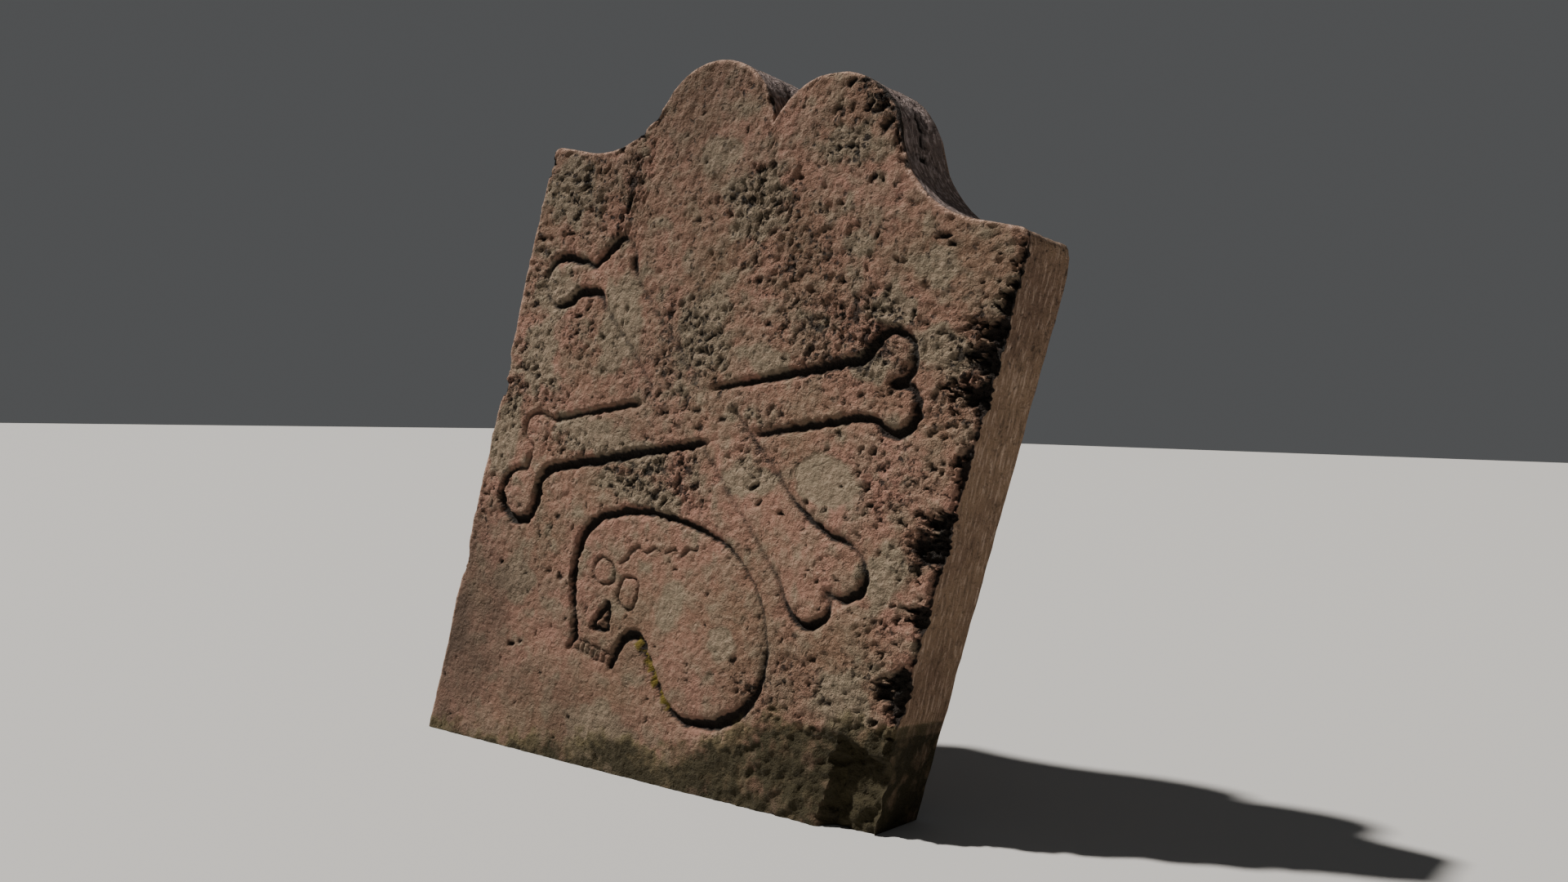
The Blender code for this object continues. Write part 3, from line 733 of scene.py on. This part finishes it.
def front_depth(u, v):
    """Depth of the front at each grid point in millimetres, the shade painted into its hollows, and
    the distance to the edge."""
    distance = edge_distance(u, v, 2)
    broken = np.maximum(chips(u, v, distance), spall(u, v))
    carved, cut, painted_shade = carving(u, v)
    depth = np.maximum(np.maximum(worn_edge(edge_radius(u, v), distance), broken), carved)
    large = large_pits(u, v)
    pitted = np.maximum(large, small_pits(u, v)) * np.clip(distance / 5, 0, 1)
    # Painted shade in the listed pits, the small pits and the breaks of the edges and foot.
    painted_shade = np.maximum(painted_shade, 0.85 * np.clip((large - 1.4) / 1.2, 0, 1))
    painted_shade = np.maximum(painted_shade, 0.75 * np.clip((pitted - 0.9) / 1.3, 0, 1))
    painted_shade = np.maximum(painted_shade, np.clip((broken - 2.8) / 2.2, 0, 1))
    depth = np.maximum(depth, pitted) + 0.35 * np.minimum(pitted, depth)
    depth = depth - 2.6 * jaw_moss(u, v) * (0.6 + 0.5 * unevenness(u, v, 5, 104)) * (depth > 1)
    furred = earth(u, v, 0) * np.clip((u - 90) / 60, 0, 1) * (2.2 + 2.2 * unevenness(u, v, 14, 121))
    uneven = np.maximum(0, worn_skin(u, v, cut) + furred - LEVEL)
    return np.maximum(0, depth) + uneven * np.clip(distance / 4, 0, 1), painted_shade, distance


front_w, front_painted_shade, from_edge = front_depth(grid_u, grid_v)
print("front depth from", round(float(front_w.min()), 2), "to", round(float(front_w.max()), 1), "mm")

# %% [markdown]
# ## Sides, back and foot
#
# From the front grid's outer line, rings run back through the thickness: round the sides, over
# the head and across the flat foot. The stone needs less detail there, so twice on the way every
# second point is dropped, and the back is a coarser grid. All of it is one closed mesh.

# %% Back edge and roughness of the sides
def rim(grid):
    """A grid's outer line as a loop: along the foot to the right, up, back over the head, down."""
    return np.concatenate([grid[0, :-1], grid[:-1, -1], grid[-1, :0:-1], grid[:0:-1, 0]])


def back_radius(u, v):
    """Radius of the worn back edge: most at the right lobe and at the right shoulder's corner."""
    lobe = bump(u - LOBE_OFFSET - LOBE_RADIUS / 2, LOBE_RADIUS) * (v > 0)
    corner = bump(np.hypot(u - WIDTH / 2, v), 34.0)
    return 4.5 + 7.0 * np.maximum(lobe, corner) + 1.2 * unevenness(u, v, 26, 131)


def side_relief(run, w, top):
    """Roughness of the sides: long shallow streaks, and on the head ridges with pits between."""
    coarse, fine = unevenness(run * 0.2, w, 17, 141), unevenness(run * 0.25, w, 10, 142)
    streaks = 0.6 * (1 + coarse) + 0.45 * (1 + fine)
    bent = run * 0.5 + 4 * unevenness(run, w, 12, 150)
    pits = hollows(bent, w, 13.0, 0.75, 6.5, 5.0, 151) * bump(w - 44, 44)
    long, short = unevenness(run * 0.22, w, 13, 152, 3), unevenness(run * 0.6, w, 9, 153, 2)
    ridges = np.maximum(0, 0.9 + 2.2 * long + 0.9 * short)
    return np.where(top, np.maximum(pits, ridges), streaks)


print("the outline has", len(rim(grid_u)), "points")

# %% [markdown]
# Each ring is the outline again, a share of the way from the worn front edge to the worn back
# edge. Its points move inwards by the relief, which vanishes at both edges.

# %% Rings from front to back
loop_s = rim(np.broadcast_to(column_u[None, :], grid_u.shape))
loop_t = rim(np.broadcast_to(row_t[:, None], grid_u.shape))
loop_w = rim(front_w)
loop_u, loop_v = rim(grid_u), rim(grid_v)
loop_on_foot = loop_t <= 0
loop_run = np.cumsum(np.hypot(loop_u - np.roll(loop_u, 1), loop_v - np.roll(loop_v, 1)))
tangent = np.stack([np.roll(loop_u, -1) - np.roll(loop_u, 1), np.roll(loop_v, -1) - np.roll(loop_v, 1)])
tangent /= np.hypot(*tangent)
loop_inward = np.stack([-tangent[1], tangent[0]])
loop_top = (loop_t > 0.999) & (np.abs(loop_u) < joint_u + 10)


def ring(depth_share, every):
    """One ring: a share of the way back from the worn front edge to the worn back edge.
    Its relief, kept beside it, moves each point inwards and later gives the painted shade of the deep
    places."""
    s, t, front = loop_s[::every], loop_t[::every], loop_w[::every]
    back = THICKNESS - back_radius(loop_u, loop_v)[::every]
    w = front + (back - front) * depth_share
    u, v = slab_place(s, t, w)
    fade = math.sin(math.pi * depth_share) ** 0.5
    relief = side_relief(loop_run[::every], w, loop_top[::every]) * fade
    relief = np.where(loop_on_foot[::every], 0, relief)
    ring_relief.append(relief)
    return np.stack([u + loop_inward[0, ::every] * relief, w, v + loop_inward[1, ::every] * relief], 1)


FINE_SHARES, COARSE_SHARES = (0.025, 0.06, 0.10, 0.15, *np.linspace(0.205, 0.93, 13)), (0.97,)
ring_relief = []
near_rings = [ring(share, 1) for share in FINE_SHARES]
far_rings = [ring(share, 2) for share in COARSE_SHARES]
print("side relief up to", round(float(max(r.max() for r in ring_relief)), 1), "mm")
print(len(near_rings), "fine rings of", len(loop_u), "and", len(far_rings), "of", len(loop_u) // 2)

# %% [markdown]
# The back is left plain: dressed flat with a few broad tool hollows, and worn like the rest.
# Nothing is known of it, so it gets no carving.

# %% The back
BACK_STEP = 4


def back_depth(u, v):
    """How far the back lies inside the solid's back plane: worn edges and broad tool hollows."""
    distance = edge_distance(u, v, 1)
    broad, slanting = unevenness(u, v, 70, 161), unevenness(u * 0.35 + v, v * 0.35 - u, 30, 162)
    tooled = 0.9 * (1 + broad) + 0.7 * (1 + slanting)
    return np.maximum(worn_edge(back_radius(u, v), distance), tooled * np.clip(distance / 12, 0, 1))


back_u, back_v = slab_place(column_u[None, ::BACK_STEP], row_t[::BACK_STEP, None], THICKNESS)
back_w = THICKNESS - back_depth(back_u, back_v)
print("back grid", back_u.shape)

# %% [markdown]
# ## One closed mesh
#
# Points are numbered patch by patch. Four neighbours of a grid make a square, two rings make a
# band of squares, and where the number of points halves, three triangles fill each gap. The
# order of the corners makes every face point outwards.

# %% Faces
def grid_faces(numbers):
    """Squares of a grid, anticlockwise seen from the front."""
    low, high = numbers[:-1], numbers[1:]
    return np.stack([low[:, :-1], low[:, 1:], high[:, 1:], high[:, :-1]], -1).reshape(-1, 4)


def band_faces(near, far):
    """Squares between a ring and the next one further back."""
    return np.stack([near, far, np.roll(far, -1), np.roll(near, -1)], 1)


def halving_faces(near, far):
    """Three triangles for each step of the far ring, which has half as many points."""
    a, b, c = near[::2], near[1::2], np.roll(near[::2], -1)
    d, e = far, np.roll(far, -1)
    return np.concatenate([np.stack([a, d, b], 1), np.stack([b, d, e], 1), np.stack([b, e, c], 1)])


front_points = np.stack([grid_u, front_w, grid_v], -1)
back_points = np.stack([back_u, back_w, back_v], -1)
patches = [front_points.reshape(-1, 3), *near_rings, *far_rings, back_points.reshape(-1, 3)]
starts = np.cumsum([0] + [len(p) for p in patches])
numbers = [np.arange(a, b) for a, b in zip(starts, starts[1:])]
front_numbers = numbers[0].reshape(grid_u.shape)
back_numbers = numbers[-1].reshape(back_u.shape)
fine = [rim(front_numbers), *numbers[1:1 + len(near_rings)]]
coarse = numbers[1 + len(near_rings):-1]

squares = [grid_faces(front_numbers), grid_faces(back_numbers)[:, ::-1]]
squares += [band_faces(a, b) for a, b in zip(fine, fine[1:])]
squares += [band_faces(a, b) for a, b in zip(coarse, coarse[1:])]
triangles = [halving_faces(fine[-1], coarse[0]), halving_faces(coarse[-1], rim(back_numbers))]
squares, triangles = np.concatenate(squares), np.concatenate(triangles)
points = np.concatenate(patches)
print(len(points), "points,", 2 * len(squares) + len(triangles), "triangles")

# %% [markdown]
# Now the upright slab is leant over, in the plane of its face and then backwards, and set down
# with the middle of its foot at the origin. The foot's points are put exactly on the ground.

# %% Lean it over and make the object
lean = np.array(Matrix.Rotation(-LEAN_BACK, 3, "X") @ Matrix.Rotation(LEAN_RIGHT, 3, "Y"))
placed = (points + (0, -THICKNESS / 2, SHOULDER_HEIGHT)) @ lean.T / 1000
row_of = np.concatenate([np.broadcast_to(row_t[:, None], grid_u.shape).ravel(),
                         *[loop_t] * len(near_rings), *[loop_t[::2]] * len(far_rings),
                         np.broadcast_to(row_t[::BACK_STEP, None], back_u.shape).ravel()])
placed[row_of <= 0, 2] = 0.0


def mesh_object(name, points, squares, triangles):
    """Puts whole arrays of points and faces into a new mesh."""
    mesh = bpy.data.meshes.new(name)
    corners = np.concatenate([squares.ravel(), triangles.ravel()]).astype(np.int32)
    sizes = np.concatenate([np.full(len(squares), 4), np.full(len(triangles), 3)])
    mesh.vertices.add(len(points))
    mesh.vertices.foreach_set("co", points.astype(np.float32).ravel())
    mesh.loops.add(len(corners))
    mesh.loops.foreach_set("vertex_index", corners)
    mesh.polygons.add(len(sizes))
    mesh.polygons.foreach_set("loop_start", (np.cumsum(sizes) - sizes).astype(np.int32))
    mesh.polygons.foreach_set("use_smooth", np.ones(len(sizes), bool))
    mesh.update(calc_edges=True)
    mesh.validate()
    made = bpy.data.objects.new(name, mesh)
    bpy.context.scene.collection.objects.link(made)
    return made


stone = mesh_object("headstone_skin", placed, squares, triangles)
stone.data.set_sharp_from_angle(angle=math.radians(62))
print("skin's box", placed.min(0).round(3), placed.max(0).round(3))

# %% [markdown]
# ## What the material is told
#
# The masks go onto the mesh as attributes, so that the colour follows the carving itself:
# `hollow` is painted shade, 1 deep in grooves and pits, and in breaks and the sides' deep relief,
# `flank` on the sides, `crown` on top of the head, and a painted highlight runs along the edges
# that face the light. A texture painted by hand could say the same, but would have to
# be painted again whenever the carving changes.

# %% Masks as attributes
point_u, point_w, point_v = points.T
on_front = np.zeros(len(points), bool)
on_front[:front_numbers.size] = True
# Painted shade: deep in the front's grooves, pits and breaks, and in the deep relief of the sides.
hollow = np.zeros(len(points))
hollow[:front_numbers.size] = front_painted_shade.ravel()
hollow[front_numbers.size:-back_numbers.size] = np.clip((np.concatenate(ring_relief) - 2.8) / 1.8, 0, 1)
flank = np.clip((point_w - 5) / 4, 0, 1) * np.clip((THICKNESS - 2 - point_w) / 3, 0, 1) * ~on_front
outward = -loop_inward[0]
facing_right = np.concatenate([
    np.zeros(front_numbers.size), *[outward] * len(near_rings), *[outward[::2]] * len(far_rings),
    np.zeros(back_numbers.size)])
crown = flank * np.clip((point_v + 6) / 14, 0, 1) * np.clip((facing_right + 0.15) / 0.5, 0, 1)
# A painted highlight along the front edges on the left half and over the head, and on the sides next to
# them, but not where the sides face right, away from the light, nor at the foot.
arris = np.zeros(len(points))
arris[:front_numbers.size] = bump(from_edge, 6.0).ravel()
arris[front_numbers.size:front_numbers.size + 2 * len(loop_u)] = 1.0
arris = arris * ((point_u <= 0) | (point_v > -8)) * (facing_right <= 0.3) * (row_of > 0)
masks = {
    "arris": arris,
    "facing_right": np.clip(facing_right, 0, 1),
    "hollow": hollow,
    "flank": flank,
    "crown": crown,
    "lichen": lichen(point_u, point_v),
    "earth": earth(point_u, point_v, point_w),
    "moss": jaw_moss(point_u, point_v) * on_front,
    "pitted": crowding(point_u, point_v) * on_front,
    "rough": roughness(point_u, point_v),
    "grime": grime(point_u, point_v),
}
for name, values in masks.items():
    layer = stone.data.attributes.new(name, "FLOAT", "POINT")
    layer.data.foreach_set("value", values.astype(np.float32))
print("masks", {name: round(float(values.mean()), 3) for name, values in masks.items()})

# %% [markdown]
# ## Shader maths as plain Python
#
# A material's node tree is arithmetic. The class below wraps one output socket, so that
# `1 - mask` or `grain * 0.3` adds the Math nodes by itself. Any other node comes from `node`.

# %% A socket that can be added and multiplied
class Field:
    """One output of a material's node tree, with sums and products."""

    def __init__(self, tree, socket=None):
        self.tree = tree
        self.socket = socket

    def node(self, kind, settings=None, sockets=None, output=0):
        """Adds a node: its settings first, then the values or links of its sockets."""
        made = self.tree.nodes.new(kind)
        for name, value in (settings or {}).items():
            if name == "stops":
                ramp = made.color_ramp
                while len(ramp.elements) < len(value):
                    ramp.elements.new(1.0)
                for element, (place, colour) in zip(ramp.elements, value):
                    element.position = place
                    element.color = colour
            else:
                setattr(made, name, value)
        for name, value in (sockets or {}).items():
            if isinstance(value, Field):
                self.tree.links.new(value.socket, made.inputs[name])
            else:
                made.inputs[name].default_value = value
        return Field(self.tree, made.outputs[output])

    def sum(self, operation, a, b):
        """A Math node with two values."""
        return self.node("ShaderNodeMath", {"operation": operation}, {0: a, 1: b})

    def __add__(self, other):
        return self.sum("ADD", self, other)

    def __sub__(self, other):
        return self.sum("SUBTRACT", self, other)

    def __mul__(self, other):
        return self.sum("MULTIPLY", self, other)

    def __rsub__(self, other):
        return self.sum("SUBTRACT", other, self)

    __radd__ = __add__
    __rmul__ = __mul__

    def limited(self, low, high):
        """The value as a share of the way from low to high, kept between 0 and 1."""
        sockets = {"Value": self, "From Min": low, "From Max": high}
        return self.node("ShaderNodeMapRange", {"clamp": True}, sockets)


print("in a Field, +, - and * become Math nodes, and limited becomes a Map Range")

# %% [markdown]
# ## Sandstone
#
# The stone is a warm pinkish brown, mottled from grey to rose, with shade painted into its hollows.
# A photograph could be wrapped round it, but noise on Object coordinates has no seams and can
# follow the carving. First come three helpers: one for noise, one that reads a mask of the
# mesh, and one that mixes two colours.

# %% The stone's material
material = bpy.data.materials.new("weathered_sandstone")
material.use_nodes = True
tree = material.node_tree
shader = tree.nodes["Principled BSDF"]
field = Field(tree)
place = field.node("ShaderNodeTexCoord", output=3)


def noise(scale, detail=4.0, rough=0.55, vector=place):
    """Blender's noise at so many features to the metre."""
    sockets = {"Vector": vector, "Scale": scale, "Detail": detail, "Roughness": rough}
    return field.node("ShaderNodeTexNoise", None, sockets)


def mask_of(name):
    """One of the mesh's masks."""
    return field.node("ShaderNodeAttribute", {"attribute_name": name}, None, 2)


def between(a, b, mask):
    """Colour a where the mask is 0 and b where it is 1; either may be plain (r, g, b)."""
    a, b = (colour if isinstance(colour, Field) else (*colour, 1.0) for colour in (a, b))
    return field.node("ShaderNodeMix", {"data_type": "RGBA"}, {0: mask, 6: a, 7: b}, 2)


print("material", material.name)

# %% [markdown]
# Noises of several sizes do most of the work: broad blotches, mottling, grain, the sand itself,
# and streaks, which are noise stretched along the leaning slab. The finest pits come from
# Voronoi cells, bent a little so that they aren't round, and stand where the mesh is pitted too.

# %% Noises, masks and fine pits
ALONG_SLAB = {"Vector": place, "Rotation": (0.0, -LEAN_RIGHT, 0.0), "Scale": (1.0, 1.0, 0.06)}
stretched = field.node("ShaderNodeMapping", None, ALONG_SLAB)
broad, mottle, grain, sand = noise(9.0), noise(42.0), noise(190.0), noise(700.0, 3.0, 0.6)
crinkle = noise(105.0, 3.0, 0.5).limited(0.40, 0.62)
streaks = noise(260.0, 5.0, 0.6, stretched)


def pit_field(scale, size):
    """Small pits: 1 in the middle of each cell of a warped Voronoi pattern, 0 past the size."""
    warp = field.node("ShaderNodeTexNoise", None, {"Vector": place, "Scale": scale * 0.8}, 1)
    bent = field.node("ShaderNodeMix", {"data_type": "VECTOR"}, {0: 0.012, 4: place, 5: warp}, 1)
    cells = field.node("ShaderNodeTexVoronoi", None, {"Vector": bent, "Scale": scale})
    return 1 - cells.limited(size * 0.4, size)


shade_mask, flank_mask, crown_mask = mask_of("hollow"), mask_of("flank"), mask_of("crown")
lichen_mask, earth_mask, moss_mask = mask_of("lichen"), mask_of("earth"), mask_of("moss")
pitted_mask, darker_tone_mask, lit_edge_mask = mask_of("pitted"), mask_of("grime"), mask_of("arris")
right_mask, rough_mask = mask_of("facing_right"), mask_of("rough")
pits = pit_field(140.0, 0.44) * noise(75.0).limited(0.46, 0.56) * (0.35 + pitted_mask * 0.65) * rough_mask
pits = pits + pit_field(260.0, 0.40) * (pitted_mask * 0.6 + 0.05)
print(len(tree.nodes), "nodes so far, with the noises and the pits")

# %% [markdown]
# Now the colours, one over the other, as growth and stains came over the bare stone: first the
# stone itself, then pale lichen, then the sides, which are yellower and finely streaked, and the
# head's grey and purple top. Darker and browner patches, a painted highlight on the edges that
# face the light, painted shade in the pits and black painted shade in the deep hollows follow,
# and moss and damp earth come last.

# %% Colour of the stone
rose, brown = (0.250, 0.130, 0.094), (0.155, 0.092, 0.058)
grey, pale = (0.165, 0.134, 0.090), (0.32, 0.235, 0.165)
# Darker stains for the sides' streaks and painted shade for the pits; black painted shade for the deep
# hollows.
dirt_and_shade, black = (0.012, 0.008, 0.006), (0.005, 0.004, 0.003)
moss_green, moss_dark = (0.115, 0.085, 0.013), (0.028, 0.022, 0.009)
brown_side, yellow_side, side_streak = (0.205, 0.124, 0.080), (0.290, 0.186, 0.116), (0.58, 0.42, 0.315)
# The painted highlight for the edges that face the light.
edge_highlight = (0.46, 0.30, 0.225)
darker_tone_brown, crown_grey, strand = (0.068, 0.043, 0.029), (0.170, 0.134, 0.130), (0.46, 0.37, 0.35)
olive = (0.105, 0.085, 0.040)

blotches = {"stops": ((0.36, (*brown, 1.0)), (0.62, (*rose, 1.0)))}
colour = field.node("ShaderNodeValToRGB", blotches, {"Fac": broad})
colour = between(colour, grey, mottle.limited(0.45, 0.62) * 0.45)
colour = between(colour, pale, grain.limited(0.52, 0.75) * 0.45)
colour = between(colour, brown, grain.limited(0.48, 0.30) * 0.5)
colour = between(colour, grey, (lichen_mask * 0.9 + noise(55.0) * 0.5).limited(0.35, 0.75) * 0.85)
colour = between(colour, pale, lichen_mask * noise(140.0).limited(0.45, 0.62) * 0.5)
side = between(brown_side, yellow_side, broad.limited(0.40, 0.58))
side = between(side, dirt_and_shade, streaks.limited(0.46, 0.30) * 0.5)
side = between(side, side_streak, streaks.limited(0.53, 0.68) * (0.25 + right_mask * 0.55))
colour = between(colour, side, flank_mask)
colour = between(colour, crown_grey, crown_mask * 0.8)
colour = between(colour, strand, crown_mask * streaks.limited(0.50, 0.58) * 0.8)
# Darker and browner patches: the head, the face left of its middle, the lower left and a band at the
# foot.
colour = between(colour, darker_tone_brown, darker_tone_mask * (1 - flank_mask) * 0.9)
# A painted highlight along the edges that face the light.
colour = between(colour, edge_highlight, lit_edge_mask * (0.35 + grain.limited(0.4, 0.6) * 0.5))
# Painted shade in the pits.
colour = between(colour, dirt_and_shade, pits.limited(0.15, 0.75) * 0.9)
# Black painted shade deep in the grooves, pits and breaks, and in the deep relief of the sides.
colour = between(colour, black, shade_mask.limited(0.15, 0.85) * 0.95)
colour = between(colour, moss_green, moss_mask.limited(0.25, 0.7))
colour = between(colour, olive, earth_mask.limited(0.0, 0.4) * noise(30.0).limited(0.35, 0.55) * 0.8)
tufts = 0.62 + noise(60.0).limited(0.35, 0.6) * 0.6
colour = between(colour, moss_dark, earth_mask.limited(0.25, 0.9) * tufts)
tree.links.new(colour.socket, shader.inputs["Base Color"])
print(len(tree.nodes), "nodes with the colour")

# %% [markdown]
# The mesh has a point every two or three millimetres. Whatever is finer than that, the grain and
# the sand, only tilts the light: a Bump node turns height into a tilt of the surface.

# %% Roughness and fine relief
rough = 0.93 - grain.limited(0.5, 0.8) * 0.08
tree.links.new(rough.socket, shader.inputs["Roughness"])
relief = rough_mask * (mottle * 2.4 + grain * (1.5 + pitted_mask * 0.9) + sand * 0.6) - pits * 1.6
relief = relief + crinkle * (0.25 * rough_mask + pitted_mask * 0.35)
relief = relief + streaks * flank_mask * (1.6 + crown_mask * 2.5)
surface = field.node("ShaderNodeBump", None, {"Strength": 1.0, "Distance": 0.003, "Height": relief})
tree.links.new(surface.socket, shader.inputs["Normal"])
shader.inputs["Specular IOR Level"].default_value = 0.25
stone.data.materials.append(material)
print(len(tree.nodes), "nodes in the stone's material")

# %% [markdown]
# ## Put it in the frame
#
# The skin rides on the part's only body and stands for its solid, which stays hidden.

# %% Ride and replace
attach(stone, "root")
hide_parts("headstone")
print(stone.name, "stands for the solid headstone")

# %% [markdown]
# ## Floor
#
# A plain pale floor, wide enough to reach the horizon, catches the stone's shadow. It is only a
# stage, so it takes no part in the object.

# %% Floor
def floor_sheet(size, count):
    """A level sheet on a square grid, dropped a hair under the stone's foot."""
    side = np.linspace(-size / 2, size / 2, count + 1)
    x, y = np.meshgrid(side, side)
    sheet = np.stack([x, y, np.full(x.shape, -0.0005)], -1).reshape(-1, 3)
    squares = grid_faces(np.arange(x.size).reshape(x.shape))
    return mesh_object("floor", sheet, squares, np.zeros((0, 3), int))


floor = floor_sheet(40.0, 8)
floor_paint = bpy.data.materials.new("pale_floor")
floor_paint.use_nodes = True
floor_shader = floor_paint.node_tree.nodes["Principled BSDF"]
floor_shader.inputs["Base Color"].default_value = (0.40, 0.395, 0.385, 1)
floor_shader.inputs["Roughness"].default_value = 0.9
floor.data.materials.append(floor_paint)
print("floor", round(floor.dimensions.x, 1), "m across")

# %% [markdown]
# ## Light
#
# Shallow carving shows only in raking light. One strong lamp stands to the upper left and shines
# along the face, so that each groove has its shadow. Its direction is given in the leaning
# slab's own axes and turned with it. Soft, weak light comes from all round.

# %% Light
world = bpy.data.worlds.new("studio")
bpy.context.scene.world = world
world.use_nodes = True
background = world.node_tree.nodes["Background"]
background.inputs["Color"].default_value = (0.86, 0.88, 0.90, 1)
background.inputs["Strength"].default_value = 0.10

KEY_TRAVEL = Vector(lean @ np.array([0.62, 0.35, -0.68]))
key = bpy.data.lights.new("key", "SUN")
key.energy = 7.2
key.angle = math.radians(2.5)
key.color = (1.0, 0.96, 0.91)
key_lamp = bpy.data.objects.new("key", key)
key_lamp.rotation_euler = KEY_TRAVEL.to_track_quat("-Z", "Y").to_euler()
bpy.context.scene.collection.objects.link(key_lamp)
downwards = math.degrees(math.asin(-KEY_TRAVEL.normalized().z))
print("the key light comes down at", round(downwards), "degrees")

# %% [markdown]
# ## Camera
#
# The camera stands to the right of the stone at half its height, about a metre and a half away,
# and looks level with a fairly wide lens, which makes the near side of the slab look larger.
# Its place, lens and the directions of its picture's right and top came from fitting a camera
# to the slab's corners.

# %% Camera
CAMERA_PLACE = (0.98941, -1.01683, 0.36608)
PICTURE_RIGHT, PICTURE_UP = Vector((0.77967, 0.62571, 0.02456)), Vector((-0.03029, -0.00149, 0.99954))

camera = bpy.data.cameras.new("camera")
camera.lens = 31.449
camera.sensor_width = 36.0
camera_stand = bpy.data.objects.new("camera", camera)
look = PICTURE_UP.cross(PICTURE_RIGHT).normalized()
turn = Matrix((PICTURE_RIGHT, PICTURE_UP, -look)).transposed()
camera_stand.matrix_world = Matrix.Translation(CAMERA_PLACE) @ turn.to_4x4()
bpy.context.scene.collection.objects.link(camera_stand)
bpy.context.scene.camera = camera_stand
print("the camera looks along", tuple(round(c, 2) for c in look))
